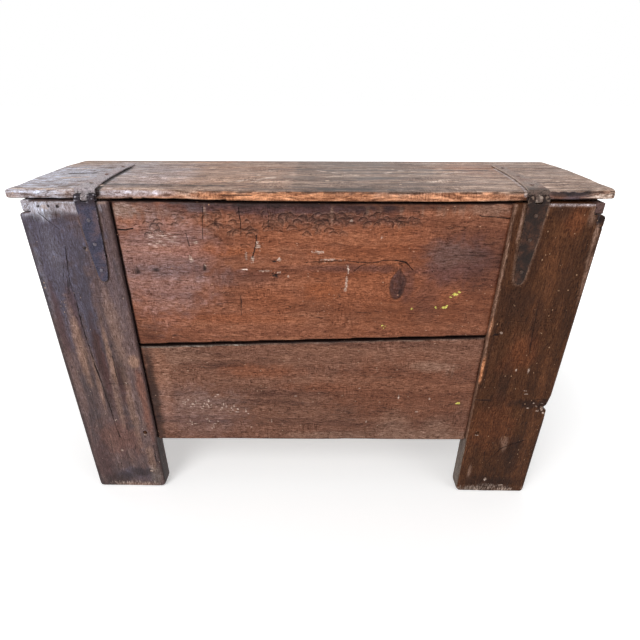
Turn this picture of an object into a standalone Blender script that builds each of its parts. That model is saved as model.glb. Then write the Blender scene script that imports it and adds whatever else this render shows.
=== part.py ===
"""Joined oak marriage chest of clamp construction, with two iron strap hinges.

Metres, +Z up. X runs along the length, the hinged back faces -Y, and the soles of the feet are on Z = 0.
Left and right are as seen from the hinged back. A depth is measured inwards from the outer faces of the
stiles, so the same words serve for the back and for the front.
"""

import math

import bmesh
import bpy

# Carcass
CHEST_LENGTH = 1.312  # over the stiles
CHEST_DEPTH = 0.400  # over the stiles
STILE_HEIGHT = 0.885
STILE_WIDTH = 0.206
STILE_THICK = 0.050
STILE_ARRIS = 0.003
FOOT_CORNER = 0.011
BREAK_TOP_Z = 0.366  # torn edge of the back right stile
BREAK_LOW_Z = 0.322
BREAK_DEPTH = 0.007

# Long boards of the back and the front
BOARD_THICK = 0.025
BOARD_RECESS = 0.009
BOARD_ARRIS = 0.0015
BOARD_TOP_DROP = 0.001
TONGUE_THICK = 0.012
TONGUE_LENGTH = 0.040
TONGUE_END_GAP = 0.0008
SEAM_LEFT_Z = 0.508  # open seam between upper and lower board, at the left stile
SEAM_RIGHT_Z = 0.544
SEAM_OPEN = 0.005
EDGE_LEFT_Z = 0.187  # lower edge of the lower board, at the left stile
EDGE_RIGHT_Z = 0.198

# End boards, between a back and a front stile
END_THICK = 0.022
END_RECESS = 0.034
END_TONGUE_THICK = 0.012
END_TONGUE_LENGTH = 0.012
END_EDGE_Z = 0.192
END_SEAM_Z = 0.530

# Floor
FLOOR_THICK = 0.020
FLOOR_UNDERSIDE_Z = 0.215
FLOOR_HOUSING = 0.008
FLOOR_MIDDLE_WIDTH = 0.116

# Lid
LID_END_OVERHANG = 0.019
LID_FRONT_OVERHANG = 0.0183
LID_THICK = 0.0225
LID_CAMBER = 0.005
LID_ARRIS = 0.003
LID_BACK_BOARD_SHARE = 0.644
LID_FRONT_BOARD_EXTRA = 0.004  # how much further it reaches to the left
CLEAT_WIDTH = 0.022
CLEAT_HEIGHT = 0.0262
CLEAT_INSET = 0.005
CLEAT_END_INSET = 0.009
CLEAT_SIDE_GAP = 0.0008

# Hinges
HINGE_STILE_SHARE = 0.767  # middle of each hinge, as a share of the stile's width from its outer edge
HINGE_WIDTH = 0.046
STRAP_THICK = 0.004
EYE_RADIUS = 0.0075
EYE_OPEN_DEG = 75
BEND_RADIUS = 0.0045
KNUCKLE_GAP = 0.0006
PIN_CLEARANCE = 0.0002
PIN_PROUD = 0.002
PIN_CHAMFER = 0.0008
# Distance below the stile's top, then the edges' distances from the hinge's middle: inner, outer
LOWER_STRAP = (
    (0.0000, 0.0230, 0.0230),
    (0.0300, 0.0226, 0.0208),
    (0.0620, 0.0219, 0.0186),
    (0.0950, 0.0212, 0.0163),
    (0.1330, 0.0197, 0.0126),
    (0.1600, 0.0176, 0.0096),
    (0.1760, 0.0155, 0.0075),
    (0.1840, 0.0134, 0.0054),
    (0.1885, 0.0104, 0.0024),
    (0.1905, 0.0070, -0.0010),
)
# The same for the strap on the lid, by distance from the bend as a share of the lid's depth
UPPER_STRAP = (
    (0.000, 0.0230, 0.0230),
    (0.074, 0.0190, 0.0228),
    (0.172, 0.0150, 0.0212),
    (0.270, 0.0130, 0.0198),
    (0.369, 0.0120, 0.0184),
    (0.479, 0.0110, 0.0166),
    (0.590, 0.0101, 0.0148),
    (0.688, 0.0092, 0.0124),
    (0.720, 0.0080, 0.0108),
    (0.735, 0.0056, 0.0084),
    (0.741, 0.0024, 0.0052),
)

# Nails and pegs
NAIL_HEAD_RADIUS = 0.0045
NAIL_HEAD_HEIGHT = 0.0024
NAIL_SHANK_RADIUS = 0.0018
NAIL_SHANK_LENGTH = 0.019
NAIL_SEAT = 0.0004
NAIL_POINT = (0.35, 0.70)  # radius of the point, and where it starts, as shares of the shank
NAIL_DOME = ((0.00, 0.94), (0.22, 1.00), (0.62, 0.78), (0.90, 0.42), (1.00, 0.14))  # rise, radius
LOWER_NAILS = {"left": (0.041, 0.097, 0.161), "right": (0.026, 0.081, 0.158)}
UPPER_NAILS = (0.098, 0.319, 0.577)
PEG_RADIUS = 0.0045
PEG_LENGTH = 0.044
PEG_PROUD = 0.0008
PEG_FROM_STILE_EDGE = 0.029
PEG_ABOVE_EDGE = 0.032

FIT = 0.0003  # between touching pieces
SEAT_GAP = 0.0005  # under the lid, its cleats and the eyes
ROUND_SIDES = 12
EYE_STEP_DEG = 15
CAMBER_STEPS = 16

# Places that follow from the sizes above
AXIS_DEPTH = EYE_RADIUS - STRAP_THICK - FIT
AXIS_Z = STILE_HEIGHT + EYE_RADIUS + SEAT_GAP
EYE_MIDDLE_RADIUS = EYE_RADIUS - STRAP_THICK / 2
LID_SET_BACK = AXIS_DEPTH + EYE_RADIUS + 2 * FIT
LID_DEPTH = CHEST_DEPTH + LID_FRONT_OVERHANG - LID_SET_BACK
LID_LENGTH = CHEST_LENGTH + 2 * LID_END_OVERHANG
LID_SEAM_DEPTH = LID_SET_BACK + LID_DEPTH * LID_BACK_BOARD_SHARE
LID_UNDERSIDE_Z = STILE_HEIGHT + SEAT_GAP
NAIL_PROUD = FIT + STRAP_THICK + NAIL_SEAT + NAIL_HEAD_HEIGHT
BACK_FACE_Y = (NAIL_PROUD - LID_SET_BACK - LID_DEPTH) / 2
FRONT_FACE_Y = BACK_FACE_Y + CHEST_DEPTH
STILE_OUTER_X = CHEST_LENGTH / 2
STILE_INNER_X = STILE_OUTER_X - STILE_WIDTH
HINGE_X = STILE_OUTER_X - STILE_WIDTH * HINGE_STILE_SHARE
TONGUE_DEPTH = BOARD_RECESS + (BOARD_THICK - TONGUE_THICK) / 2
BOARD_INNER_DEPTH = BOARD_RECESS + BOARD_THICK
END_OUTER_X = STILE_OUTER_X - END_RECESS
END_INNER_X = END_OUTER_X - END_THICK
CLEAT_OUTER_X = STILE_OUTER_X - CLEAT_INSET
CLEAT_INNER_X = CLEAT_OUTER_X - CLEAT_WIDTH
CLEAT_TOP_Z = LID_UNDERSIDE_Z - FIT
CLEAT_LOW_Z = CLEAT_TOP_Z - CLEAT_HEIGHT
NOTCH_INNER_X = CLEAT_INNER_X - CLEAT_SIDE_GAP
NOTCH_FLOOR_Z = CLEAT_LOW_Z - SEAT_GAP
FLOOR_TOP_Z = FLOOR_UNDERSIDE_Z + FLOOR_THICK
FLOOR_SEAM_DEPTH = (CHEST_DEPTH - FLOOR_MIDDLE_WIDTH) / 2
SIGN = {"left": -1, "right": 1}
HINGE_POINT = (0.0, BACK_FACE_Y + AXIS_DEPTH, AXIS_Z)
AT_REST = (0.0, 0.0, 0.0)


def remove_everything():
    for item in list(bpy.data.objects):
        bpy.data.objects.remove(item)


def linear(value):
    value /= 255
    return value / 12.92 if value <= 0.04045 else ((value + 0.055) / 1.055) ** 2.4


def material(name, colour, roughness, metallic=0.0):
    made = bpy.data.materials.new(name)
    made.use_nodes = True
    surface = made.node_tree.nodes["Principled BSDF"]
    surface.inputs["Base Color"].default_value = [linear(c) for c in colour] + [1.0]
    surface.inputs["Roughness"].default_value = roughness
    surface.inputs["Metallic"].default_value = metallic
    return made


def y_at(side, depth):
    """World Y of a depth measured inwards from the outer face of the back or the front stiles."""
    return BACK_FACE_Y + depth if side == "back" else FRONT_FACE_Y - depth


def solid(name, points, faces, made_of=None, origin=AT_REST):
    """One closed body with outward faces. Its origin lies at the given point."""
    mesh = bpy.data.meshes.new(name)
    work = bmesh.new()
    corners = [work.verts.new([p - o for p, o in zip(point, origin)]) for point in points]
    for face in faces:
        work.faces.new([corners[i] for i in face])
    bmesh.ops.recalc_face_normals(work, faces=work.faces[:])
    work.to_mesh(mesh)
    work.free()
    piece = bpy.data.objects.new(name, mesh)
    piece.location = origin
    bpy.context.scene.collection.objects.link(piece)
    if made_of:
        mesh.materials.append(made_of)
    return piece


def between_rings(rings):
    """Faces that join equal rings of points one after another, and close both ends."""
    count = len(rings[0])
    faces = [tuple(reversed(range(count)))]
    for row in range(len(rings) - 1):
        base = row * count
        for i in range(count):
            j = (i + 1) % count
            faces.append((base + i, base + j, base + count + j, base + count + i))
    faces.append(tuple(range((len(rings) - 1) * count, len(rings) * count)))
    return [point for ring in rings for point in ring], faces


def plank_in_xz(name, outline, y_low, y_high, made_of, origin=AT_REST):
    rings = [[(x, y, z) for x, z in outline] for y in (y_low, y_high)]
    return solid(name, *between_rings(rings), made_of, origin)


def plank_in_xy(name, outline, low, high, made_of):
    """Low and high give the ends' heights at each x."""
    rings = [[(x, y, height(x)) for x, y in outline] for height in (low, high)]
    return solid(name, *between_rings(rings), made_of)


def ease_arrises(piece, width, segments=1):
    """Rounds a plank's outward corners, and leaves the inward corners beside tongues and notches sharp."""
    work = bmesh.new()
    work.from_mesh(piece.data)
    arrises = [edge for edge in work.edges if edge.is_convex and edge.calc_face_angle() > math.radians(40)]
    bmesh.ops.bevel(work, geom=arrises, offset=width, segments=segments, affect="EDGES")
    work.to_mesh(piece.data)
    work.free()


def as_cutter(piece):
    piece.hide_render = True
    piece.display_type = "WIRE"
    return piece


def box_cutter(name, x_range, y_range, z_range):
    x0, x1 = sorted(x_range)
    outline = [(x0, z_range[0]), (x1, z_range[0]), (x1, z_range[1]), (x0, z_range[1])]
    return as_cutter(plank_in_xz(name, outline, min(y_range), max(y_range), None))


def cut(piece, cutter):
    boolean = piece.modifiers.new(cutter.name, "BOOLEAN")
    boolean.operation = "DIFFERENCE"
    boolean.solver = "EXACT"
    boolean.object = cutter


def turned(name, profile, place, outward, made_of, origin=AT_REST):
    """A round body. The profile holds (height, radius) along the outward direction, -Y, +Y or +Z."""
    rings = []
    for height, radius in profile:
        ring = []
        for k in range(ROUND_SIDES):
            angle = 2 * math.pi * (k + 0.5) / ROUND_SIDES
            u, v = radius * math.cos(angle), radius * math.sin(angle)
            if outward == "+Z":
                ring.append((place[0] + u, place[1] + v, place[2] + height))
            else:
                step = height if outward == "+Y" else -height
                ring.append((place[0] + u, place[1] + step, place[2] + v))
        rings.append(ring)
    return solid(name, *between_rings(rings), made_of, origin)


def along(values, x):
    """A height that runs straight from the left stile's inner edge to the right one's."""
    left, right = values
    return left + (right - left) * (x + STILE_INNER_X) / (2 * STILE_INNER_X)


def lid_top_z(depth):
    """Height of the cambered lid at a depth from the back stiles' faces."""
    share = 2 * (depth - LID_SET_BACK) / LID_DEPTH - 1
    return LID_UNDERSIDE_Z + LID_THICK + LID_CAMBER * (1 - share * share)


def stile_outline(hand, side):
    """Outline of a stile in the X-Z plane, with the notch for the cleat and the eased corners of the foot."""
    s = SIGN[hand]
    outer, inner = STILE_OUTER_X, STILE_INNER_X
    corner = FOOT_CORNER
    points = [
        (inner, STILE_HEIGHT),
        (inner, corner),
        (inner + corner * 0.3, corner * 0.3),
        (inner + corner, 0.0),
        (outer - corner * 0.7, 0.0),
        (outer - corner * 0.2, corner * 0.2),
        (outer, corner * 0.7),
    ]
    if (hand, side) == ("right", "back"):
        points += [
            (outer, BREAK_LOW_Z - 0.040),
            (outer - BREAK_DEPTH * 0.25, BREAK_LOW_Z),
            (outer - BREAK_DEPTH, BREAK_LOW_Z + 0.006),
            (outer - BREAK_DEPTH * 0.55, (BREAK_LOW_Z + BREAK_TOP_Z) / 2),
            (outer, BREAK_TOP_Z),
        ]
    points += [
        (outer, NOTCH_FLOOR_Z),
        (NOTCH_INNER_X, NOTCH_FLOOR_Z),
        (NOTCH_INNER_X, STILE_HEIGHT),
    ]
    return [(s * x, z) for x, z in points]


def make_stile(hand, side, oak):
    s = SIGN[hand]
    name = f"stile_{side}_{hand}"
    outline = stile_outline(hand, side)
    stile = plank_in_xz(name, outline, y_at(side, 0), y_at(side, STILE_THICK), oak)
    ease_arrises(stile, STILE_ARRIS)
    groove_end = STILE_INNER_X + TONGUE_LENGTH + TONGUE_END_GAP
    groove_floor = min(along((EDGE_LEFT_Z, EDGE_RIGHT_Z), s * x) for x in (STILE_INNER_X, groove_end))
    cut(stile, box_cutter(
        f"cut_board_groove_{side}_{hand}",
        (s * (STILE_INNER_X - 0.02), s * groove_end),
        (y_at(side, TONGUE_DEPTH - FIT), y_at(side, TONGUE_DEPTH + TONGUE_THICK + FIT)),
        (groove_floor - FIT, STILE_HEIGHT + 0.02),
    ))
    tongue_x = END_OUTER_X - (END_THICK - END_TONGUE_THICK) / 2
    cut(stile, box_cutter(
        f"cut_end_groove_{side}_{hand}",
        (s * (tongue_x + FIT), s * (tongue_x - END_TONGUE_THICK - FIT)),
        (y_at(side, STILE_THICK - END_TONGUE_LENGTH - 2 * FIT), y_at(side, STILE_THICK + 0.02)),
        (END_EDGE_Z - FIT, STILE_HEIGHT + 0.02),
    ))
    return stile


def make_long_board(side, tier, oak):
    """A board of the back or the front. Both its ends are tongues that enter the stiles' grooves."""
    end = STILE_INNER_X + TONGUE_LENGTH
    shoulder = STILE_INNER_X - FIT
    levels = (BOARD_RECESS, TONGUE_DEPTH, TONGUE_DEPTH + TONGUE_THICK, BOARD_INNER_DEPTH)
    face, near, far, back = (y_at(side, depth) for depth in levels)
    outline = [
        (-shoulder, face), (shoulder, face), (shoulder, near), (end, near),
        (end, far), (shoulder, far), (shoulder, back), (-shoulder, back),
        (-shoulder, far), (-end, far), (-end, near), (-shoulder, near),
    ]
    if tier == "upper":
        low = lambda x: along((SEAM_LEFT_Z, SEAM_RIGHT_Z), x) + SEAM_OPEN / 2
        high = lambda x: STILE_HEIGHT - BOARD_TOP_DROP
    else:
        low = lambda x: along((EDGE_LEFT_Z, EDGE_RIGHT_Z), x)
        high = lambda x: along((SEAM_LEFT_Z, SEAM_RIGHT_Z), x) - SEAM_OPEN / 2
    board = plank_in_xy(f"board_{side}_{tier}", outline, low, high, oak)
    ease_arrises(board, BOARD_ARRIS)
    if tier == "lower":
        cut(board, box_cutter(
            f"cut_floor_housing_{side}",
            (-shoulder + FIT, shoulder - FIT),
            (y_at(side, BOARD_INNER_DEPTH - FLOOR_HOUSING - FIT), y_at(side, BOARD_INNER_DEPTH + 0.02)),
            (FLOOR_UNDERSIDE_Z - FIT, FLOOR_TOP_Z + FIT),
        ))
    return board


def make_end_board(hand, tier, oak):
    """A board across one end, tongued into the inner faces of its two stiles."""
    s = SIGN[hand]
    tongue_x = END_OUTER_X - (END_THICK - END_TONGUE_THICK) / 2
    x_levels = (END_OUTER_X, tongue_x, tongue_x - END_TONGUE_THICK, END_INNER_X)
    outer, near, far, inner = (s * x for x in x_levels)
    y0, y1 = BACK_FACE_Y + STILE_THICK + FIT, FRONT_FACE_Y - STILE_THICK - FIT
    t0, t1 = y0 - END_TONGUE_LENGTH, y1 + END_TONGUE_LENGTH
    outline = [
        (outer, y0), (outer, y1), (near, y1), (near, t1), (far, t1), (far, y1),
        (inner, y1), (inner, y0), (far, y0), (far, t0), (near, t0), (near, y0),
    ]
    low_z = END_SEAM_Z + FIT / 2 if tier == "upper" else END_EDGE_Z
    high_z = STILE_HEIGHT - BOARD_TOP_DROP if tier == "upper" else END_SEAM_Z - FIT / 2
    board = plank_in_xy(f"end_{hand}_{tier}", outline, lambda x: low_z, lambda x: high_z, oak)
    ease_arrises(board, BOARD_ARRIS)
    if tier == "lower":
        cut(board, box_cutter(
            f"cut_floor_housing_{hand}",
            (s * (END_INNER_X - 0.02), s * (END_INNER_X + FLOOR_HOUSING + FIT)),
            (y0 + FIT, y1 - FIT),
            (FLOOR_UNDERSIDE_Z - FIT, FLOOR_TOP_Z + FIT),
        ))
    return board


def make_floor(oak):
    """Three planks lengthwise. The outer two are notched round the stiles and housed in the long boards."""
    end = END_INNER_X + FLOOR_HOUSING - FIT
    notch = STILE_INNER_X - 2 * FIT
    housed = BOARD_INNER_DEPTH - FLOOR_HOUSING + FIT
    clear = STILE_THICK + 2 * FIT
    seam = FLOOR_SEAM_DEPTH - FIT / 2
    for side in ("back", "front"):
        depths = (
            (-end, clear), (-notch, clear), (-notch, housed), (notch, housed),
            (notch, clear), (end, clear), (end, seam), (-end, seam),
        )
        outline = [(x, y_at(side, depth)) for x, depth in depths]
        plank_in_xy(f"floor_{side}", outline, lambda x: FLOOR_UNDERSIDE_Z, lambda x: FLOOR_TOP_Z, oak)
    y0, y1 = (y_at(side, FLOOR_SEAM_DEPTH + FIT / 2) for side in ("back", "front"))
    outline = [(-end, y0), (end, y0), (end, y1), (-end, y1)]
    plank_in_xy("floor_middle", outline, lambda x: FLOOR_UNDERSIDE_Z, lambda x: FLOOR_TOP_Z, oak)


def make_lid_board(name, depth_low, depth_high, x_low, x_high, oak):
    """One lengthwise board of the lid. Its top follows the camber, and its arrises are rounded by wear."""
    a = LID_ARRIS
    steps = max(4, round(CAMBER_STEPS * (depth_high - depth_low) / LID_DEPTH))
    tops = [depth_low + a + (depth_high - depth_low - 2 * a) * i / steps for i in range(steps + 1)]
    profile = [(depth_low + a / 2, LID_UNDERSIDE_Z), (depth_low, LID_UNDERSIDE_Z + a / 2)]
    profile.append((depth_low, lid_top_z(depth_low) - a))
    profile += [(depth, lid_top_z(depth)) for depth in tops]
    profile.append((depth_high, lid_top_z(depth_high) - a))
    profile += [(depth_high, LID_UNDERSIDE_Z + a / 2), (depth_high - a / 2, LID_UNDERSIDE_Z)]
    mid_depth = (depth_low + depth_high) / 2
    mid_z = LID_UNDERSIDE_Z + LID_THICK / 2
    rings = []
    for x, inset in ((x_low, a), (x_low + a, 0.0), (x_high - a, 0.0), (x_high, a)):
        ring = []
        for depth, z in profile:
            in_depth = depth + math.copysign(min(inset / 2, abs(mid_depth - depth)), mid_depth - depth)
            in_z = z + math.copysign(min(inset / 2, abs(mid_z - z)), mid_z - z)
            ring.append((x, BACK_FACE_Y + in_depth, in_z))
        rings.append(ring)
    return solid(name, *between_rings(rings), oak, HINGE_POINT)


def make_cleat(hand, oak):
    s = SIGN[hand]
    outline = [
        (s * CLEAT_INNER_X, CLEAT_LOW_Z), (s * CLEAT_OUTER_X, CLEAT_LOW_Z),
        (s * CLEAT_OUTER_X, CLEAT_TOP_Z), (s * CLEAT_INNER_X, CLEAT_TOP_Z),
    ]
    y_range = (BACK_FACE_Y + CLEAT_END_INSET, FRONT_FACE_Y - CLEAT_END_INSET)
    cleat = plank_in_xz(f"lid_cleat_{hand}", outline, *y_range, oak, HINGE_POINT)
    ease_arrises(cleat, BOARD_ARRIS)


def strap_lines(hand, inner, outer, shift):
    """X of a strap's four lengthwise lines: its edges, and the sides of its middle third."""
    low, high = HINGE_X - inner, HINGE_X + outer
    third = (high - low) / 3
    return [SIGN[hand] * x for x in (low, low + third + shift, high - third - shift, high)]


def bent_strap(name, stations, iron, origin=AT_REST):
    """A strip of iron bent along its length.

    Each station holds depth and z of the strip's middle, its face normal in that plane, the x of its four
    lengthwise lines, and which thirds run on from there to the next station.
    """
    points, faces = [], []
    for depth, z, normal, lines, _ in stations:
        for x in lines:
            for face in (-0.5, 0.5):
                step = STRAP_THICK * face
                points.append((x, BACK_FACE_Y + depth + normal[0] * step, z + normal[1] * step))
    corner = lambda i, j, k: (i * 4 + j) * 2 + k
    there = {(i, j) for i in range(len(stations) - 1) for j in range(3) if j in stations[i][4]}
    for i, j in sorted(there):
        for k in (0, 1):
            faces.append((corner(i, j, k), corner(i + 1, j, k), corner(i + 1, j + 1, k), corner(i, j + 1, k)))
        sides = (
            ((i - 1, j), (i, j), (i, j + 1)), ((i + 1, j), (i + 1, j), (i + 1, j + 1)),
            ((i, j - 1), (i, j), (i + 1, j)), ((i, j + 1), (i, j + 1), (i + 1, j + 1)),
        )
        for neighbour, a, b in sides:
            if neighbour not in there:
                faces.append((corner(*a, 0), corner(*b, 0), corner(*b, 1), corner(*a, 1)))
    used = sorted({i for face in faces for i in face})
    renumber = {old: new for new, old in enumerate(used)}
    kept = [points[i] for i in used]
    return solid(name, kept, [[renumber[i] for i in face] for face in faces], iron, origin)


def make_lower_strap(hand, iron):
    """Nailed down the stile. It tapers to a rounded tip, and its outer thirds roll over the pin."""
    all_thirds, eyes = (0, 1, 2), (0, 2)
    flat_depth = AXIS_DEPTH - EYE_MIDDLE_RADIUS
    stations = []
    for below, inner, outer in reversed(LOWER_STRAP[1:]):
        lines = strap_lines(hand, inner, outer, KNUCKLE_GAP / 2)
        stations.append((flat_depth, STILE_HEIGHT - below, (-1, 0), lines, all_thirds))
    lines = strap_lines(hand, HINGE_WIDTH / 2, HINGE_WIDTH / 2, -KNUCKLE_GAP / 2)
    shoulder_z = AXIS_Z - EYE_RADIUS - FIT
    stations.append((flat_depth, shoulder_z, (-1, 0), lines, eyes))
    for degrees in range(180, -180 + EYE_OPEN_DEG - 1, -EYE_STEP_DEG):
        c, s = math.cos(math.radians(degrees)), math.sin(math.radians(degrees))
        stations.append(
            (AXIS_DEPTH + EYE_MIDDLE_RADIUS * c, AXIS_Z + EYE_MIDDLE_RADIUS * s, (c, s), lines, eyes)
        )
    return bent_strap(f"strap_lower_{hand}", stations, iron)


def upper_strap_z(depth):
    return lid_top_z(depth) + FIT + STRAP_THICK / 2


def make_upper_strap(hand, iron):
    """Nailed over the lid. It wraps down the lid's near edge, and its middle third rolls under the pin."""
    all_thirds, eye = (0, 1, 2), (1,)
    bend_depth = AXIS_DEPTH + EYE_MIDDLE_RADIUS + BEND_RADIUS
    bend_z = upper_strap_z(bend_depth) - BEND_RADIUS
    stations = []
    for share, inner, outer in reversed(UPPER_STRAP[1:]):
        depth = bend_depth + LID_DEPTH * share
        slope = (lid_top_z(depth + 0.001) - lid_top_z(depth - 0.001)) / 0.002
        size = math.hypot(1, slope)
        lines = strap_lines(hand, inner, outer, 0.0)
        stations.append((depth, upper_strap_z(depth), (-slope / size, 1 / size), lines, all_thirds))
    lines = strap_lines(hand, HINGE_WIDTH / 2, HINGE_WIDTH / 2, KNUCKLE_GAP / 2)
    for degrees in range(90, 181, 15):
        c, s = math.cos(math.radians(degrees)), math.sin(math.radians(degrees))
        stations.append((bend_depth + BEND_RADIUS * c, bend_z + BEND_RADIUS * s, (c, s), lines, all_thirds))
    leg_depth = AXIS_DEPTH + EYE_MIDDLE_RADIUS
    stations.append((leg_depth, AXIS_Z + EYE_RADIUS + FIT, (-1, 0), lines, eye))
    for degrees in range(0, -360 + EYE_OPEN_DEG - 1, -EYE_STEP_DEG):
        c, s = math.cos(math.radians(degrees)), math.sin(math.radians(degrees))
        stations.append(
            (AXIS_DEPTH + EYE_MIDDLE_RADIUS * c, AXIS_Z + EYE_MIDDLE_RADIUS * s, (-c, -s), lines, eye)
        )
    return bent_strap(f"strap_upper_{hand}", stations, iron, HINGE_POINT)


def make_pin(hand, iron):
    """The pin stays with the lower strap, so the lid turns on it."""
    radius = EYE_RADIUS - STRAP_THICK - PIN_CLEARANCE
    middle = SIGN[hand] * HINGE_X
    reach = HINGE_WIDTH / 2 + PIN_PROUD
    rings = []
    for x, size in (
        (-reach, radius - PIN_CHAMFER), (-reach + PIN_CHAMFER, radius),
        (reach - PIN_CHAMFER, radius), (reach, radius - PIN_CHAMFER),
    ):
        ring = []
        for degrees in range(0, 360, EYE_STEP_DEG):
            angle = math.radians(degrees)
            y = BACK_FACE_Y + AXIS_DEPTH + size * math.cos(angle)
            ring.append((middle + x, y, AXIS_Z + size * math.sin(angle)))
        rings.append(ring)
    return solid(f"hinge_pin_{hand}", *between_rings(rings), iron)


def between(table, distance):
    """The strap's edges at a distance, straight between two rows of its table."""
    for (d0, a0, b0), (d1, a1, b1) in zip(table, table[1:]):
        if d0 <= distance <= d1:
            share = (distance - d0) / (d1 - d0)
            return a0 + (a1 - a0) * share, b0 + (b1 - b0) * share
    return table[-1][1:]


def make_nail(name, place, outward, iron, holders, origin=AT_REST):
    """A domed nail through a strap into the wood behind it. Place is where the head meets the strap."""
    shank, length, head, rise = NAIL_SHANK_RADIUS, NAIL_SHANK_LENGTH, NAIL_HEAD_RADIUS, NAIL_HEAD_HEIGHT
    tip, taper = NAIL_POINT
    profile = [(-length, shank * tip), (-length * taper, shank), (0.0, shank)]
    profile += [(rise * up, head * out) for up, out in NAIL_DOME]
    turned(name, profile, place, outward, iron, origin)
    bore = shank + FIT
    hole = as_cutter(turned(
        "cut_" + name, ((-length - 2 * FIT, bore), (0.02, bore)), place, outward, None, AT_REST
    ))
    for holder in holders:
        cut(holder, hole)


def make_peg(side, hand, oak, holders):
    """An oak peg through the stile's cheeks and the tongue of the lower board."""
    x = SIGN[hand] * (STILE_INNER_X + PEG_FROM_STILE_EDGE)
    z = along((EDGE_LEFT_Z, EDGE_RIGHT_Z), x) + PEG_ABOVE_EDGE
    place = (x, y_at(side, 0), z)
    outward = "-Y" if side == "back" else "+Y"
    r = PEG_RADIUS
    profile = ((-PEG_LENGTH, r * 0.8), (-PEG_LENGTH * 0.9, r), (0.0, r), (PEG_PROUD, r * 0.72))
    turned(f"peg_{side}_{hand}", profile, place, outward, oak)
    hole = as_cutter(turned(
        f"cut_peg_{side}_{hand}", ((-PEG_LENGTH - 2 * FIT, r + FIT), (0.02, r + FIT)), place, outward, None
    ))
    for holder in holders:
        cut(holder, hole)


def make_hinge(hand, iron, pin_iron, nail_iron, stile, lid_board):
    lower = make_lower_strap(hand, iron)
    upper = make_upper_strap(hand, iron)
    make_pin(hand, pin_iron)
    for number, below in enumerate(LOWER_NAILS[hand], 1):
        inner, outer = between(LOWER_STRAP, below)
        x = SIGN[hand] * (HINGE_X + (outer - inner) / 2)
        y = BACK_FACE_Y - FIT - STRAP_THICK - NAIL_SEAT
        place = (x, y, STILE_HEIGHT - below)
        make_nail(f"nail_lower_{hand}_{number}", place, "-Y", nail_iron, (lower, stile))
    bend_depth = AXIS_DEPTH + EYE_MIDDLE_RADIUS + BEND_RADIUS
    for number, share in enumerate(UPPER_NAILS, 1):
        inner, outer = between(UPPER_STRAP, share)
        depth = bend_depth + LID_DEPTH * share
        x = SIGN[hand] * (HINGE_X + (outer - inner) / 2)
        place = (x, BACK_FACE_Y + depth, upper_strap_z(depth) + STRAP_THICK / 2 + NAIL_SEAT)
        make_nail(f"nail_upper_{hand}_{number}", place, "+Z", nail_iron, (upper, lid_board), HINGE_POINT)


def make_chest():
    remove_everything()
    oak_stile = material("oak_stile", (98, 70, 56), 0.55)
    oak_board = material("oak_board", (124, 72, 50), 0.5)
    oak_end = material("oak_end", (112, 76, 56), 0.6)
    oak_floor = material("oak_floor", (120, 92, 70), 0.75)
    oak_lid = material("oak_lid", (126, 106, 94), 0.6)
    oak_cleat = material("oak_cleat", (138, 104, 88), 0.65)
    oak_peg = material("oak_peg", (70, 50, 40), 0.6)
    iron_strap = material("iron_strap", (58, 51, 52), 0.45, 0.85)
    iron_pin = material("iron_pin", (66, 60, 60), 0.4, 0.9)
    iron_nail = material("iron_nail", (72, 64, 62), 0.4, 0.9)

    stiles = {(side, hand): make_stile(hand, side, oak_stile) for side in ("back", "front") for hand in SIGN}
    lower_boards = {}
    for side in ("back", "front"):
        make_long_board(side, "upper", oak_board)
        lower_boards[side] = make_long_board(side, "lower", oak_board)
    for hand in SIGN:
        make_end_board(hand, "upper", oak_end)
        make_end_board(hand, "lower", oak_end)
    make_floor(oak_floor)
    for (side, hand), stile in stiles.items():
        make_peg(side, hand, oak_peg, (stile, lower_boards[side]))

    half = LID_LENGTH / 2
    seam = LID_SEAM_DEPTH - FIT / 2
    lid_back = make_lid_board("lid_board_back", LID_SET_BACK, seam, -half, half, oak_lid)
    reach = -half - LID_FRONT_BOARD_EXTRA
    lid_end = LID_SET_BACK + LID_DEPTH
    make_lid_board("lid_board_front", LID_SEAM_DEPTH + FIT / 2, lid_end, reach, half, oak_lid)
    for hand in SIGN:
        make_cleat(hand, oak_cleat)
        make_hinge(hand, iron_strap, iron_pin, iron_nail, stiles["back", hand], lid_back)


make_chest()
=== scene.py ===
"""Finish of an aged oak marriage chest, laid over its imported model.

Metres, +Z up. X runs along the length and the hinged back faces -Y. Left and right are as seen from
that back.
"""

import itertools
import math
from contextlib import contextmanager
from types import SimpleNamespace
from typing import NamedTuple

import bmesh
import bpy
import numpy as np
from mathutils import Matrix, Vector
from mathutils.kdtree import KDTree


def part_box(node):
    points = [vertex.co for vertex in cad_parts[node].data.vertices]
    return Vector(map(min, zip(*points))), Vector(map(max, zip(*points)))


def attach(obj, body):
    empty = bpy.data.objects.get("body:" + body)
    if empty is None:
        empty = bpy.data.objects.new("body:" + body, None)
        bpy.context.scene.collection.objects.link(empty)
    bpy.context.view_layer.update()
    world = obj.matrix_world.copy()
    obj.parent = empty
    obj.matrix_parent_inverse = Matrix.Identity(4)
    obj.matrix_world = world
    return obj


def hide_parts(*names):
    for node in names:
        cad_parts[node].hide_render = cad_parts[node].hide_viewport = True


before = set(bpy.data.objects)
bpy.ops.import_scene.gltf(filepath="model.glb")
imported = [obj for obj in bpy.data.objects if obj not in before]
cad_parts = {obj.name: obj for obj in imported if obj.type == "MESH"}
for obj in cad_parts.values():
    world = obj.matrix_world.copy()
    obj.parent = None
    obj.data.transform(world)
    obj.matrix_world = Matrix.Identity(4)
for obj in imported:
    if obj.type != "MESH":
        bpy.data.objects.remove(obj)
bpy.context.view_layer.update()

MM = 0.001
HANDS = {"left": -1, "right": 1}
AXES = {"X": 0, "Y": 1, "Z": 2}
BACKWARD = (0.0, -1.0, 0.0)
UPWARD = (0.0, 0.0, 1.0)
BACK_PLANE = [AXES["X"], AXES["Z"]]
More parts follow.
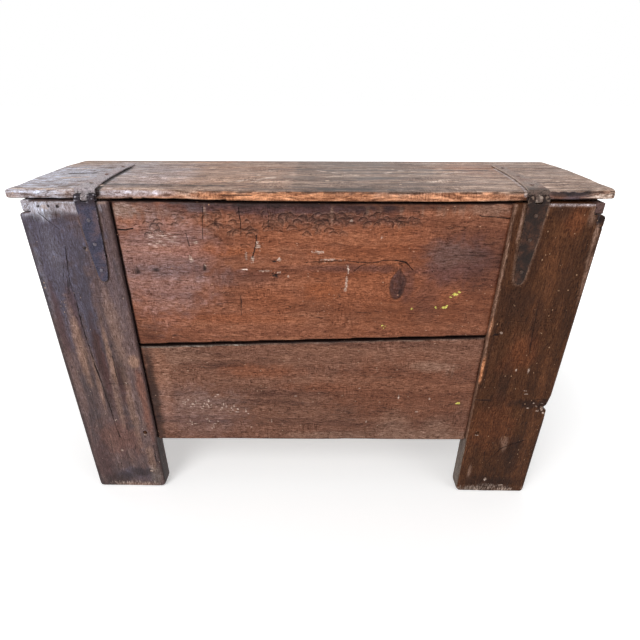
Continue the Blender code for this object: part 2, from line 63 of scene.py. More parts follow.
LID_PLANE = [AXES["X"], AXES["Y"]]

# Camera at the photograph's place
PHOTO_WIDTH_PX = 640
FOCAL_PX = 460.35
CENTRE_X_PX = 310.82
CENTRE_Y_PX = 325.62
SENSOR_WIDTH_MM = 36.0
CAMERA_PLACE = (0.0221, -1.2235, 1.1288)
CAMERA_DOWN_DEG = 28.441
CAMERA_TURN_DEG = 1.0955

# Places that the frame gives
STILE_FACE_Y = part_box("stile_back_left")[0].y
STILE_TOP_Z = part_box("stile_back_left")[1].z
STILE_INNER_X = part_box("stile_back_right")[0].x
LID_EDGE_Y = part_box("lid_board_back")[0].y
LID_LOW_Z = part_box("lid_board_back")[0].z
PIN_LOW, PIN_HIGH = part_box("hinge_pin_left")
HINGE_Y = (PIN_LOW.y + PIN_HIGH.y) / 2
HINGE_Z = (PIN_LOW.z + PIN_HIGH.z) / 2
HINGE_X = abs(PIN_LOW.x + PIN_HIGH.x) / 2
INSIDE_LOW = (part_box("end_left_upper")[1].x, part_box("board_back_upper")[1].y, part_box("floor_middle")[1].z)
INSIDE_HIGH = (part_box("end_right_upper")[0].x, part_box("board_front_upper")[0].y, STILE_TOP_Z)

# Odd numbers that scatter a lattice's cells, by axis, then for the mixing, the seed and the start
SCATTER = (374761393, 668265263, 2246822519)
SCATTER_MIX, SCATTER_SEED, SCATTER_START = 1274126177, 974711, 12345


# Noise and distances on arrays of points
def hashed(cells, seed):
    """A steady value from -1 to 1 for each cell of a lattice."""
    n = np.full(len(cells), (seed * SCATTER_SEED + SCATTER_START) % 2**32, np.uint32)
    for axis, odd in enumerate(SCATTER):
        n += cells[:, axis].astype(np.uint32) * np.uint32(odd)
    n = (n ^ (n >> np.uint32(13))) * np.uint32(SCATTER_MIX)
    n ^= n >> np.uint32(16)
    return n.astype(float) / 2**31 - 1


def rough(points, cell, seed):
    """Smooth noise from -1 to 1 with features about the size of the cell, in metres."""
    scaled = points / np.asarray(cell, float)
    base = np.floor(scaled)
    share = scaled - base
    share = share * share * (3 - 2 * share)
    base = base.astype(np.int64)
    total = np.zeros(len(points))
    for corner in itertools.product((0, 1), repeat=3):
        weight = np.prod(np.where(corner, share, 1 - share), axis=1)
        total += weight * hashed(base + corner, seed)
    return total


def ease(value, low, high):
    """Rises smoothly from 0 at low to 1 at high."""
    share = np.clip((value - low) / (high - low), 0, 1)
    return share * share * (3 - 2 * share)


def off_path(flat, path):
    """Distance of each flat point from a path of straight pieces."""
    nearest = np.full(len(flat), np.inf)
    for start, end in zip(path, path[1:]):
        start, run = np.array(start), np.array(end) - np.array(start)
        share = np.clip((flat - start) @ run / max(run @ run, 1e-12), 0, 1)
        nearest = np.minimum(nearest, np.linalg.norm(flat - start - share[:, None] * run, axis=1))
    return nearest


# Meshes
def add_object(name, data):
    added = bpy.data.objects.new(name, data)
    bpy.context.scene.collection.objects.link(added)
    return added


def settle(piece):
    """Makes the piece's modifiers plain mesh."""
    graph = bpy.context.evaluated_depsgraph_get()
    made = bpy.data.meshes.new_from_object(piece.evaluated_get(graph))
    piece.modifiers.clear()
    before = piece.data
    piece.data = made
    bpy.data.meshes.remove(before)


@contextmanager
def edited(mesh):
    """Opens a mesh for editing and writes it back."""
    work = bmesh.new()
    work.from_mesh(mesh)
    yield work
    work.to_mesh(mesh)
    work.free()


WELD_GAP = 0.01 * MM


def remade(name, node, voxel):
    """A copy of a node's shape in even small faces, for wear to work on."""
    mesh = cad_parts[node].data.copy()
    mesh.materials.clear()
    with edited(mesh) as work:
        bmesh.ops.remove_doubles(work, verts=work.verts, dist=WELD_GAP)
    piece = add_object(name, mesh)
    voxels = piece.modifiers.new("voxels", "REMESH")
    voxels.mode = "VOXEL"
    voxels.voxel_size = voxel
    settle(piece)
    return piece


def vectors(items, name):
    """One vector of each mesh item, as the rows of an array."""
    values = np.empty(len(items) * 3)
    items.foreach_get(name, values)
    return values.reshape(-1, 3)


def refine(piece, near, times):
    """Splits the faces that near picks, a number of times. Near takes middles, normals and the step."""
    for step in range(times):
        mesh = piece.data
        chosen = near(vectors(mesh.polygons, "center"), vectors(mesh.polygons, "normal"), step)
        chosen = np.flatnonzero(chosen)
        if not len(chosen):
            return
        with edited(mesh) as work:
            work.faces.ensure_lookup_table()
            edges = {edge for i in chosen for edge in work.faces[i].edges}
            bmesh.ops.subdivide_edges(work, edges=list(edges), cuts=1, use_grid_fill=True)


class Skin:
    """A piece's points and normals as arrays, and the layers that its material reads."""

    def __init__(self, piece):
        self.mesh = piece.data
        self.at = vectors(self.mesh.vertices, "co")
        self.normal = vectors(self.mesh.vertex_normals, "vector")
        edges = np.empty(len(self.mesh.edges) * 2, int)
        self.mesh.edges.foreach_get("vertices", edges)
        self.edges = edges.reshape(-1, 2)
        self.layers = {}

    def around(self, values):
        """The mean of each point's neighbours."""
        a, b = self.edges.T
        count = len(self.at)
        degree = np.bincount(a, minlength=count) + np.bincount(b, minlength=count)
        columns = values.reshape(count, -1).T
        sums = [np.bincount(a, v[b], count) + np.bincount(b, v[a], count) for v in columns]
        return (np.array(sums) / np.maximum(degree, 1)).T.reshape(values.shape)

    def arrises(self, spread):
        """Nearly 1 on outward corners, fading over a number of points."""
        a, b = self.edges.T
        span = np.linalg.norm(self.at[a] - self.at[b], axis=1).mean()
        bulge = np.einsum("ij,ij->i", self.at - self.around(self.at), self.normal) / span
        found = np.clip(bulge * 3.2, 0, 1)
        for _ in range(spread):
            found = np.maximum(found * 0.82, self.around(found))
        return found

    def looking(self, way, low=0.45, high=0.8):
        """1 where the surface looks one way, down to 0 where it has turned from it."""
        return ease(self.normal @ np.array(way), low, high)

    def push(self, amount):
        """Moves the points out along their normals, or in where the amount is below 0."""
        self.at += self.normal * amount[:, None]

    def layer(self, name):
        return self.layers.setdefault(name, np.zeros(len(self.at)))

    def paint(self, name, amount, chosen=slice(None)):
        """Raises a layer to an amount, on all its points or on chosen ones."""
        layer = self.layer(name)
        layer[chosen] = np.maximum(layer[chosen], amount)

    def fetch(self, name):
        values = np.empty(len(self.at))
        self.mesh.attributes[name].data.foreach_get("value", values)
        self.layers[name] = values
        return values

    def write(self):
        self.mesh.vertices.foreach_set("co", self.at.astype(np.float32).ravel())
        for name, values in self.layers.items():
            stored = self.mesh.attributes.get(name) or self.mesh.attributes.new(name, "FLOAT", "POINT")
            stored.data.foreach_set("value", np.clip(values, -1, 1).astype(np.float32))
        self.mesh.update()


# Node trees
class Wiring:
    """Adds nodes to a tree and joins them."""

    def __init__(self, tree):
        self.tree = tree

    def node(self, kind, inputs=None, **settings):
        """Adds a node with its settings, and feeds its inputs by their names or numbers."""
        made = self.tree.nodes.new(kind)
        for name, value in settings.items():
            setattr(made, name, value)
        for key, value in (inputs or {}).items():
            self.feed(made.inputs[key], value)
        return made

    def feed(self, socket, value):
        if isinstance(value, bpy.types.NodeSocket):
            self.tree.links.new(value, socket)
        else:
            socket.default_value = value

    def math(self, operation, *values, clamp=False):
        made = self.node("ShaderNodeMath", operation=operation, use_clamp=clamp)
        for socket, value in zip(made.inputs, values):
            self.feed(socket, value)
        return made.outputs[0]

    def swing(self, value, amount, around):
        """Adds some of a noise's swing about one half."""
        return self.math("MULTIPLY_ADD", self.math("SUBTRACT", value, 0.5), amount, around)

    def vector(self, operation, *values):
        made = self.node("ShaderNodeVectorMath", operation=operation)
        for socket, value in zip(made.inputs, values):
            self.feed(socket, value)
        return made.outputs[0]

    def ease(self, value, low, high):
        """Rises smoothly from 0 at low to 1 at high."""
        inputs = {"Value": value, "From Min": low, "From Max": high}
        return self.node("ShaderNodeMapRange", inputs, interpolation_type="SMOOTHSTEP").outputs["Result"]

    def scaled(self, vector, cell):
        """Coordinates in which a cell of this size, in metres, is 1 across."""
        return self.vector("MULTIPLY", vector, [1 / c for c in cell])

    def noise(self, vector, cell, detail=2.0, roughness=0.55):
        """Noise with features about the size of the cell, in metres."""
        at = self.scaled(vector, cell)
        inputs = {"Vector": at, "Scale": 1.0, "Detail": detail, "Roughness": roughness}
        return self.node("ShaderNodeTexNoise", inputs).outputs["Fac"]

    def cells(self, vector, cell, feature="F1"):
        inputs = {"Vector": self.scaled(vector, cell), "Scale": 1.0}
        return self.node("ShaderNodeTexVoronoi", inputs, feature=feature)

    def tint(self, share, under, over, blend="MIX"):
        """Lays one colour over another."""
        inputs = {0: share, 6: under, 7: over}
        return self.node("ShaderNodeMix", inputs, data_type="RGBA", blend_type=blend).outputs[2]

    def tone(self, strength, share, under, over):
        """Lays a colour over another by part of a share."""
        return self.tint(self.math("MULTIPLY", share, strength), under, over)

    def stack(self, *parts):
        """Adds up values, each with its strength."""
        total = 0.0
        for strength, value in parts:
            total = self.math("MULTIPLY_ADD", value, strength, total)
        return total

    def read(self, name):
        """A layer that the skin of the piece holds."""
        return self.node("ShaderNodeAttribute", attribute_name=name).outputs["Fac"]

    def own_place(self):
        """The piece's own coordinates."""
        return self.node("ShaderNodeTexCoord").outputs["Object"]

    def relief(self, surface, height, distance, strength=1.0):
        """Gives a surface fine relief, with its depth in metres."""
        inputs = {"Height": height, "Strength": strength, "Distance": distance}
        self.feed(surface.inputs["Normal"], self.node("ShaderNodeBump", inputs).outputs["Normal"])


def colour(red, green, blue):
    """A colour written as it looks, from 0 to 255, as the shader wants it."""
    shares = [c / 255 for c in (red, green, blue)]
    return [c / 12.92 if c <= 0.04045 else ((c + 0.055) / 1.055) ** 2.4 for c in shares] + [1.0]


def new_material(name):
    material = bpy.data.materials.new(name)
    material.use_nodes = True
    return material, Wiring(material.node_tree), material.node_tree.nodes["Principled BSDF"]


# Tones that marks and zones lay over any oak, one over the other in this order
TONES = {
    "glow": colour(140, 78, 48),
    "slate": colour(80, 73, 85),
    "dusk": colour(76, 50, 48),
    # Pale worn wood, and in places a painted highlight
    "sand": colour(150, 116, 98),
    "ash": colour(124, 112, 102),
    "raw": colour(190, 126, 88),
    # A pale bluish haze, mostly painted sheen and partly pale end grain
    "bloom": colour(182, 178, 188),
    # Dark dirt and stain, and painted shade in gaps, cracks, holes and under the lid
    "umber": colour(30, 18, 16),
    # Pale flakes and scratches, and painted glints on the straps
    "chalk": colour(196, 170, 154),
    "yellow": colour(212, 202, 100),
}
FLECKED_TONES = {"chalk", "yellow"}
GRAIN_TURN = {"X": (0.0, 0.0, 0.0), "Y": (0.0, 0.0, math.pi / 2), "Z": (0.0, math.pi / 2, 0.0)}


class Finish(NamedTuple):
    """Colours of an oak surface, and how strongly each part of its pattern shows."""

    deep: list
    body: list
    pale: list
    worn: list
    roughness: float
    shine: float
    streaked: float = 0.5
    grained: float = 1.0
    coarse: float = 1.0
    nicked: float = 0.3


FINISHES = {
    "board": Finish(
        colour(88, 46, 31), colour(134, 82, 60), colour(164, 107, 79), colour(184, 138, 112), 0.46, 0.14,
        streaked=0.45),
    "lower_board": Finish(
        colour(78, 48, 38), colour(115, 77, 61), colour(140, 98, 78), colour(170, 138, 116), 0.50, 0.14,
        streaked=0.35, grained=1.1),
    # Cooler than the right stile's finish: painted cool light from the left
    "left_stile": Finish(
        colour(60, 50, 52), colour(96, 75, 73), colour(122, 97, 90), colour(160, 136, 124), 0.48, 0.18,
        streaked=0.5, grained=0.85, nicked=0.34),
    # Warmer than the left stile's finish: painted warm light from the right
    "right_stile": Finish(
        colour(42, 22, 12), colour(72, 43, 26), colour(94, 56, 34), colour(172, 134, 104), 0.46, 0.08,
        streaked=0.30, grained=1.05, nicked=0.44),
    "lid": Finish(
        colour(92, 70, 60), colour(156, 125, 108), colour(192, 160, 140), colour(214, 186, 164), 0.50, 0.18,
        streaked=0.95, grained=1.35, coarse=2.6, nicked=0.36),
    "end": Finish(
        colour(80, 56, 46), colour(118, 86, 70), colour(144, 108, 88), colour(172, 142, 120), 0.52, 0.20),
    "floor": Finish(
        colour(96, 74, 58), colour(140, 112, 90), colour(162, 134, 108), colour(176, 150, 124), 0.70, 0.20),
    "cleat": Finish(
        colour(88, 70, 62), colour(130, 108, 98), colour(156, 132, 120), colour(184, 160, 148), 0.60, 0.20),
}
INSIDE_OAK = colour(136, 106, 82)
# A shade takes least from the red and most from the blue, as old polish does
SHADE_POWERS = (0.92, 1.10, 1.22)


def oak_space(w, grain, seed):
    """The piece's own coordinates, turned along its grain and bent as the grain sways."""
    turned = w.node("ShaderNodeMapping", {
        "Vector": w.own_place(),
        "Location": (seed * 3.17, seed * 1.31, seed * 2.07),
        "Rotation": GRAIN_TURN[grain],
    })
    at = turned.outputs["Vector"]
    sway = w.swing(w.noise(at, (0.30, 0.09, 0.09)), 0.045, w.read("bend"))
    sway = w.swing(w.noise(at, (0.060, 0.030, 0.030)), 0.010, sway)
    drift = w.node("ShaderNodeCombineXYZ", {"Y": sway, "Z": sway})
    return w.vector("ADD", at, drift.outputs["Vector"])


def oak_patterns(w, at, coarse):
    """The noises that make up an oak surface, each with its cell along and across the grain, in metres."""
    def grown(along, across, detail=2.0, roughness=0.55):
        return w.noise(at, (along, across, across), detail, roughness)

    return SimpleNamespace(
        bands=grown(0.75, 0.034),
        streaks=grown(0.22, 0.010, 3.0, 0.6),
        figure=w.math("SINE", w.math("MULTIPLY", grown(0.40, 0.045, 1.0), 110.0)),
        fibres=grown(0.034 * coarse, 0.0040 * coarse, 3.0, 0.6),
        hairs=grown(0.013 * coarse, 0.0021 * coarse, 2.0, 0.65),
        grit=grown(0.0034, 0.0034, 2.0, 0.7),
        rays=grown(0.0034, 0.022, 2.0, 0.6),
        blotches=grown(0.10, 0.05, 4.0, 0.6),
        dabs=grown(0.020, 0.012, 3.0, 0.65),
    )


def oak_wood(w, look, p):
    """The colours of the wood itself, before any mark."""
    wood = w.tint(w.ease(p.bands, 0.36, 0.66), look.deep, look.pale)
    wood = w.tone(1.0 - 0.5 * look.streaked, w.ease(p.blotches, 0.2, 0.6), wood, look.body)
    wood = w.tone(look.streaked, w.ease(p.streaks, 0.46, 0.26), wood, look.deep)
    wood = w.tone(0.9 * look.streaked, w.ease(p.streaks, 0.54, 0.76), wood, look.pale)
    return w.tone(0.72, w.read("inside"), wood, INSIDE_OAK)


def oak_toned(w, look, p, wood):
    """Lays the skin's tones and its worn corners over the wood, broken up along the grain."""
    break_up = w.swing(p.dabs, 0.8, w.swing(p.hairs, 1.2, 0.0))
    soften = w.math("MULTIPLY_ADD", break_up, 0.6, 1.05)
    for tone, over in TONES.items():
        share = w.math("MULTIPLY", w.read(tone), soften, clamp=True)
        if tone in FLECKED_TONES:
            laid = w.math("ADD", w.read(tone), break_up)
            share = w.math("MULTIPLY", w.ease(laid, 0.05, 0.9), w.ease(w.read(tone), 0.0, 0.15))
        wood = w.tint(share, wood, over)
    wear = w.math("ADD", w.read("wear"), break_up)
    return w.tone(0.6, w.ease(wear, 0.45, 1.15), wood, look.worn)


def oak_shaded(w, look, p, wood):
    """Darkens the pores and lightens the ridges between them."""
    rise = w.swing(p.hairs, 2.7, w.swing(p.fibres, 1.5, w.math("MULTIPLY", p.figure, 0.05)))
    rise = w.math("MULTIPLY_ADD", w.swing(p.rays, 1.7, 0.0), w.ease(p.blotches, 0.50, 0.62), rise)
    patchy = w.math("MULTIPLY_ADD", w.ease(p.dabs, 0.34, 0.66), 0.9 * look.grained, 0.55 * look.grained)
    even = w.swing(p.dabs, 0.5, w.swing(p.grit, 1.7 * look.grained, 1.0))
    shade = w.math("MAXIMUM", w.math("MULTIPLY_ADD", rise, patchy, even), 0.3)
    shades = {channel: w.math("POWER", shade, power) for channel, power in enumerate(SHADE_POWERS)}
    return w.tint(1.0, wood, w.node("ShaderNodeCombineColor", shades).outputs[0], "MULTIPLY")


def oak_splits(w, at):
    """Fine drying splits along the grain."""
    line = w.math("ABSOLUTE", w.swing(w.noise(at, (0.16, 0.013, 0.013), 1.0), 1.0, 0.0))
    where = w.noise(at, (0.10, 0.03, 0.03))
    return w.math("MULTIPLY", w.ease(line, 0.012, 0.002), w.ease(where, 0.54, 0.68))


def oak_nicks(w, at, look):
    """Small nicks, here and there."""
    nick = w.cells(at, (0.013 * look.coarse, 0.008 * look.coarse, 0.008 * look.coarse))
    picked = w.node("ShaderNodeSeparateColor", {0: nick.outputs["Color"]}).outputs
    size = w.math("MULTIPLY", picked[1], 0.25)
    rare = w.ease(picked[0], 1.0 - look.nicked, 1.06 - look.nicked)
    return w.math("MULTIPLY", w.ease(nick.outputs["Distance"], size, w.math("MULTIPLY", size, 0.4)), rare)


def oak(finish, grain, seed):
    """Old oak with its grain along one axis of the chest."""
    look = FINISHES[finish]
    material, w, surface = new_material(f"oak_{finish}_{grain.lower()}_{seed}")
    at = oak_space(w, grain, seed)
    p = oak_patterns(w, at, look.coarse)
    splits = oak_splits(w, at)
    nicks = oak_nicks(w, at, look)
    wood = oak_shaded(w, look, p, oak_toned(w, look, p, oak_wood(w, look, p)))
    # Painted shade in the fine splits
    wood = w.tone(0.65, splits, wood, TONES["umber"])
    w.feed(surface.inputs["Base Color"], w.tint(nicks, wood, look.worn))
    surface.inputs["Specular IOR Level"].default_value = look.shine
    gloss = w.math("MULTIPLY_ADD", w.read("wear"), -0.08, w.swing(p.blotches, 0.35, look.roughness))
    gloss = w.math("MULTIPLY_ADD", w.read("inside"), 0.2, w.swing(p.fibres, 0.4, gloss))
    w.feed(surface.inputs["Roughness"], gloss)
    height = w.stack((0.7, p.fibres), (0.5, p.streaks), (0.5, p.hairs), (0.15, p.grit), (0.5, p.dabs))
    height = w.math("MULTIPLY_ADD", splits, -1.2, height)
    height = w.math("MULTIPLY_ADD", nicks, -0.5, height)
    w.relief(surface, height, 1.4 * MM)
    return material


# Body, patches of rust or dust, worn high places, roughness
IRONS = {
    # Bluish: painted cool light from the left
    "lower_left": (colour(68, 66, 84), colour(82, 68, 74), colour(176, 170, 180), 0.42),
    "lower_right": (colour(40, 25, 19), colour(74, 46, 33), colour(156, 132, 116), 0.38),
    # Pale like the lid's left end: painted sheen
    "upper_left": (colour(184, 174, 178), colour(158, 142, 142), colour(214, 208, 210), 0.55),
    "upper_right": (colour(160, 136, 124), colour(132, 106, 96), colour(196, 176, 162), 0.55),
    "nail": (colour(92, 72, 62), colour(58, 42, 34), colour(196, 180, 170), 0.34),
    "lid_nail": (colour(160, 144, 138), colour(120, 100, 94), colour(204, 194, 188), 0.5),
    "pin": (colour(56, 46, 46), colour(44, 34, 30), colour(150, 138, 132), 0.45),
}
# The nails on the left are painted paler and cooler than those on the right: painted cool light from the left
COOL_LIT_NAIL = colour(98, 92, 100)


def iron(finish, seed):
    """Forged iron, dark with old wax and rust, rubbed bright on its high places, with painted shade and glints
    where its skin holds them.
    """
    body, rust, bright, roughness = IRONS[finish]
    material, w, surface = new_material(f"iron_{finish}")
    start = (seed * 1.7, seed * 0.9, seed * 2.3)
    at = w.node("ShaderNodeMapping", {"Vector": w.own_place(), "Location": start}).outputs["Vector"]
    patches = w.noise(at, (0.030, 0.030, 0.030), 4.0, 0.6)
    grit = w.noise(at, (0.0035, 0.0035, 0.0035), 3.0, 0.65)
    blows = w.cells(at, (0.011, 0.011, 0.011), "SMOOTH_F1").outputs["Distance"]
    metal = w.tint(w.ease(patches, 0.42, 0.66), body, rust)
    if finish == "nail":
        # Nails on the left side take the paler colour: painted light
        across = w.node("ShaderNodeSeparateXYZ", {0: w.own_place()}).outputs[0]
        metal = w.tint(w.ease(across, -0.1, 0.1), COOL_LIT_NAIL, metal)
    metal = w.tone(0.5, w.ease(grit, 0.5, 0.3), metal, TONES["umber"])
    rubbed = w.swing(grit, 1.2, w.read("wear"))
    metal = w.tone(0.7, w.ease(rubbed, 0.32, 0.85), metal, bright)
    # Painted shade round a strap's knuckle
    metal = w.tone(0.8, w.read("umber"), metal, TONES["umber"])
    # Painted glints round a strap's knuckle
    metal = w.tone(0.9, w.read("chalk"), metal, bright)
    pitted = w.swing(grit, 2.0, w.swing(patches, 1.7, w.swing(blows, -0.3, 0.92)))
    metal = w.tint(1.0, metal, w.math("MAXIMUM", pitted, 0.3), "MULTIPLY")
    w.feed(surface.inputs["Base Color"], metal)
    surface.inputs["Metallic"].default_value = 0.1
    surface.inputs["Specular IOR Level"].default_value = 0.16
    gloss = w.math("MULTIPLY_ADD", w.read("wear"), -0.1, w.swing(patches, 0.5, roughness))
    w.feed(surface.inputs["Roughness"], gloss)
    w.relief(surface, w.stack((0.8, blows), (0.35, grit)), 0.6 * MM, 0.7)
    return material


# The tables of marks are in millimetres
# Zones of colour by tone: x and z of the middle, half sizes along them, strength
ZONES = {
    "board_back_upper": {
        "umber": (
            (-90, 882, 160, 12, 0.75), (200, 878, 200, 14, 0.55), (60, 600, 100, 50, 0.20),
            (340, 830, 90, 30, 0.18), (420, 720, 45, 200, 0.26), (260, 600, 200, 40, 0.22),
            (360, 600, 90, 50, 0.25), (-420, 555, 40, 30, 0.25), (-413, 717, 8, 6, 0.85),
            (-368, 720, 10, 6, 0.85), (-251, 726, 4, 8, 0.85),
        ),
        "dusk": (
            (-20, 870, 260, 16, 0.95), (-220, 874, 130, 14, 0.85), (-310, 862, 70, 18, 0.45),
            (50, 848, 200, 16, 0.50), (-385, 846, 30, 14, 0.30), (-340, 720, 110, 20, 0.45),
            (-180, 700, 100, 22, 0.38), (355, 745, 110, 75, 0.55), (100, 728, 150, 10, 0.55),
            (285, 660, 35, 70, 0.35), (232, 690, 22, 45, 0.55),
        ),
        "slate": ((-150, 876, 110, 10, 0.45), (340, 750, 70, 50, 0.28)),
        "sand": (
            (400, 869, 50, 13, 0.55), (-370, 860, 80, 16, 0.25), (-430, 865, 25, 14, 0.5),
            *((x, 872, 3.5, 18, 0.55) for x in (288, 322, 336, 368, 388, 421)), (-236, 850, 3, 30, 0.50),
            (50, 856, 4, 24, 0.45), (130, 866, 4, 14, 0.40), (158, 870, 3, 12, 0.40),
            (205, 866, 4, 14, 0.45), (252, 868, 3, 16, 0.45), (300, 866, 5, 12, 0.50),
            (342, 868, 3, 16, 0.50),
        ),
        "chalk": ((-340, 800, 35, 22, 0.20),),
        "ash": ((-415, 862, 35, 20, 0.35), (330, 765, 60, 30, 0.14)),
        "glow": (
            (-220, 768, 120, 14, 0.75), (-60, 800, 120, 30, 0.35), (30, 668, 60, 30, 0.75),
            (-90, 640, 90, 40, 0.40), (140, 690, 50, 50, 0.45), (150, 800, 120, 35, 0.35),
            (-200, 590, 220, 14, 0.45), (220, 700, 260, 150, 0.50),
        ),
        "bloom": ((-360, 740, 140, 140, 0.13),),
    },
    "board_back_lower": {
        "sand": (
            (-400, 380, 20, 110, 0.35), (320, 452, 60, 16, 0.50), (366, 442, 4, 20, 0.60),
            (380, 436, 4, 22, 0.60), (300, 212, 160, 20, 0.50), (240, 245, 45, 55, 0.38),
            (360, 235, 40, 45, 0.38), (50, 208, 140, 14, 0.40), (-300, 320, 120, 40, 0.18),
            (-360, 480, 80, 30, 0.25),
        ),
        "glow": (
            (-400, 380, 20, 120, 0.35), (-140, 430, 100, 22, 0.38), (100, 380, 160, 18, 0.28),
            (270, 370, 200, 100, 0.30),
        ),
        "dusk": ((-300, 300, 130, 50, 0.22),),
        "umber": (
            (60, 300, 220, 50, 0.15), (400, 300, 60, 50, 0.20), (270, 330, 200, 120, 0.16),
            # The next row is painted shadow of the left stile on the board
            (-434, 340, 14, 170, 0.75),
        ),
        "bloom": ((-330, 290, 140, 90, 0.05),),
    },
    "stile_back_left": {
        # The thin rows along the stile's top, at z 884 and 885, are pale end grain with a painted highlight on
        # it
        "bloom": (
            (-606, 871, 58, 21, 0.95), (-510, 872, 45, 13, 0.50), (-560, 885, 85, 4, 1.0),
            (-600, 760, 20, 60, 0.06), (-645, 690, 8, 100, 0.12),
        ),
        "sand": (
            (-560, 878, 60, 10, 0.35), (-530, 872, 50, 10, 0.50), (-470, 884, 20, 4, 0.90),
            (-625, 868, 16, 10, 0.45), (-498, 560, 16, 120, 0.34), (-528, 470, 7, 120, 0.60),
            (-500, 320, 10, 140, 0.40), (-600, 500, 12, 110, 0.62), (-576, 380, 6, 90, 0.45),
            (-536, 330, 8, 80, 0.40), (-468, 462, 14, 18, 0.85), (-476, 120, 12, 50, 0.45),
            (-530, 8, 60, 7, 0.50),
        ),
        "ash": ((-560, 884, 95, 4, 0.90), (-470, 45, 18, 40, 0.35)),
        "umber": (
            (-585, 858, 30, 8, 0.40), (-622, 850, 14, 10, 0.45), (-560, 843, 26, 8, 0.20),
            (-540, 700, 8, 90, 0.25), (-553, 600, 14, 140, 0.18), (-556, 520, 5, 160, 0.40),
            (-590, 430, 4, 120, 0.35), (-508, 420, 12, 40, 0.45), (-518, 62, 28, 18, 0.60),
            (-560, 44, 34, 12, 0.50), (-590, 30, 40, 20, 0.50), (-650, 400, 5, 420, 0.60),
            (-454, 120, 6, 70, 0.50), (-620, 12, 30, 14, 0.60), (-562, 335, 8, 45, 0.45),
        ),
        "slate": (
            (-632, 820, 38, 60, 1.0), (-585, 790, 90, 75, 1.0), (-604, 690, 66, 120, 1.0),
            (-620, 560, 30, 70, 0.60), (-480, 700, 30, 160, 0.25), (-553, 620, 20, 160, 1.0),
            (-530, 52, 50, 30, 0.50),
        ),
        "dusk": (
            (-552, 460, 12, 130, 1.0), (-634, 560, 12, 120, 0.70), (-590, 610, 10, 80, 0.60),
            (-512, 385, 14, 55, 0.95), (-625, 110, 24, 80, 0.60),
        ),
        "glow": ((-462, 330, 12, 120, 0.35), (-560, 190, 60, 70, 0.20)),
        "chalk": ((-545, 12, 85, 12, 0.24),),
    },
    "stile_back_right": {
        "umber": (
            (560, 868, 20, 20, 0.40), (645, 851, 12, 14, 0.90), (464, 560, 4, 200, 0.35),
            (520, 760, 20, 70, 0.30), (600, 700, 14, 90, 0.30), (520, 420, 16, 80, 0.40),
            (505, 640, 45, 50, 0.40), (560, 600, 12, 110, 0.35), (600, 340, 50, 14, 0.60),
            (640, 338, 18, 26, 0.65), (652, 170, 5, 150, 0.60), (590, 150, 30, 60, 0.35),
            (560, 36, 90, 20, 0.50), (500, 50, 40, 16, 0.45), (476, 350, 22, 4, 0.60),
        ),
        "glow": ((590, 850, 22, 30, 0.25), (540, 500, 40, 60, 0.25), (510, 260, 60, 80, 0.18)),
        "sand": (
            # The thin rows along the stile's top, at z 884 and 885, are pale end grain with a painted highlight
            # on it
            (580, 884, 68, 5.5, 0.95), (471.5, 845, 3, 45, 0.85), (476, 760, 2.5, 45, 0.55),
            (451.5, 740, 1.6, 140, 0.50), (452, 640, 3, 260, 0.70), (626, 862, 10, 24, 0.35),
            (643, 810, 5, 60, 0.60), (648, 730, 5, 80, 0.38), (562, 192, 8, 22, 0.55),
            (480, 82, 5, 26, 0.55), (552, 205, 4, 16, 0.45),
        ),
        "bloom": ((584, 885, 64, 4.2, 0.80),),
        "chalk": ((585, 885, 62, 3, 0.50), (560, 14, 105, 18, 0.26)),
        "slate": ((640, 851, 3, 12, 1.0),),
        "ash": ((490, 10, 30, 10, 0.40),),
        "raw": ((453.5, 445, 3.5, 35, 0.95), (453, 575, 2.5, 30, 0.50)),
    },
}
# Zones of the lid's top, with y for z
LID_ZONES = {
    # The pale bluish patches on the lid's left end are painted sheen
    "bloom": (
        (-620, -60, 140, 160, 0.80), (-600, -182, 110, 14, 0.80), (-420, -20, 120, 160, 0.30),
        (-500, 120, 100, 60, 0.35),
    ),
    "slate": (
        (-600, 100, 50, 6, 0.75), (-600, 66, 60, 5, 0.60), (-570, 20, 70, 8, 0.70),
        (-560, -60, 60, 8, 0.65), (-600, -130, 50, 7, 0.60), (505, -130, 22, 60, 0.60),
    ),
    "umber": (
        (-530, 178, 50, 10, 0.60), (-200, 205, 300, 6, 0.35), (-300, 100, 160, 4, 0.40),
        (-160, 150, 120, 6, 0.40), (-200, -20, 140, 4, 0.28), (-300, -165, 140, 7, 0.38),
        (-100, -172, 80, 9, 0.40), (140, 150, 175, 12, 0.62), (180, 178, 140, 6, 0.50),
        (160, 118, 160, 4, 0.48), (80, 66, 100, 6, 0.42), (190, 20, 110, 4, 0.40), (70, -50, 80, 5, 0.36),
        (100, -120, 130, 5, 0.36), (75, -172, 115, 13, 0.75), (250, -176, 60, 6, 0.50),
        (600, -186, 60, 6, 0.55), (440, 126, 70, 5, 0.45), (400, 170, 120, 5, 0.35),
    ),
    "dusk": ((-360, 20, 50, 12, 0.25), (580, 30, 100, 130, 0.12)),
    "raw": (
        (-280, 165, 80, 7, 0.75), (-200, 185, 60, 5, 0.65), (20, 188, 50, 5, 0.45),
        (250, 190, 200, 8, 0.22), (-220, 0, 200, 200, 0.14), (420, 60, 100, 120, 0.16),
    ),
    "sand": (
        (-300, -120, 140, 20, 0.35), (-200, 40, 100, 8, 0.45), (400, -80, 100, 50, 0.35),
        (20, -70, 60, 6, 0.50), (110, 86, 120, 5, 0.45), (140, -85, 100, 5, 0.40),
    ),
    "glow": ((420, 80, 80, 100, 0.25),),
}
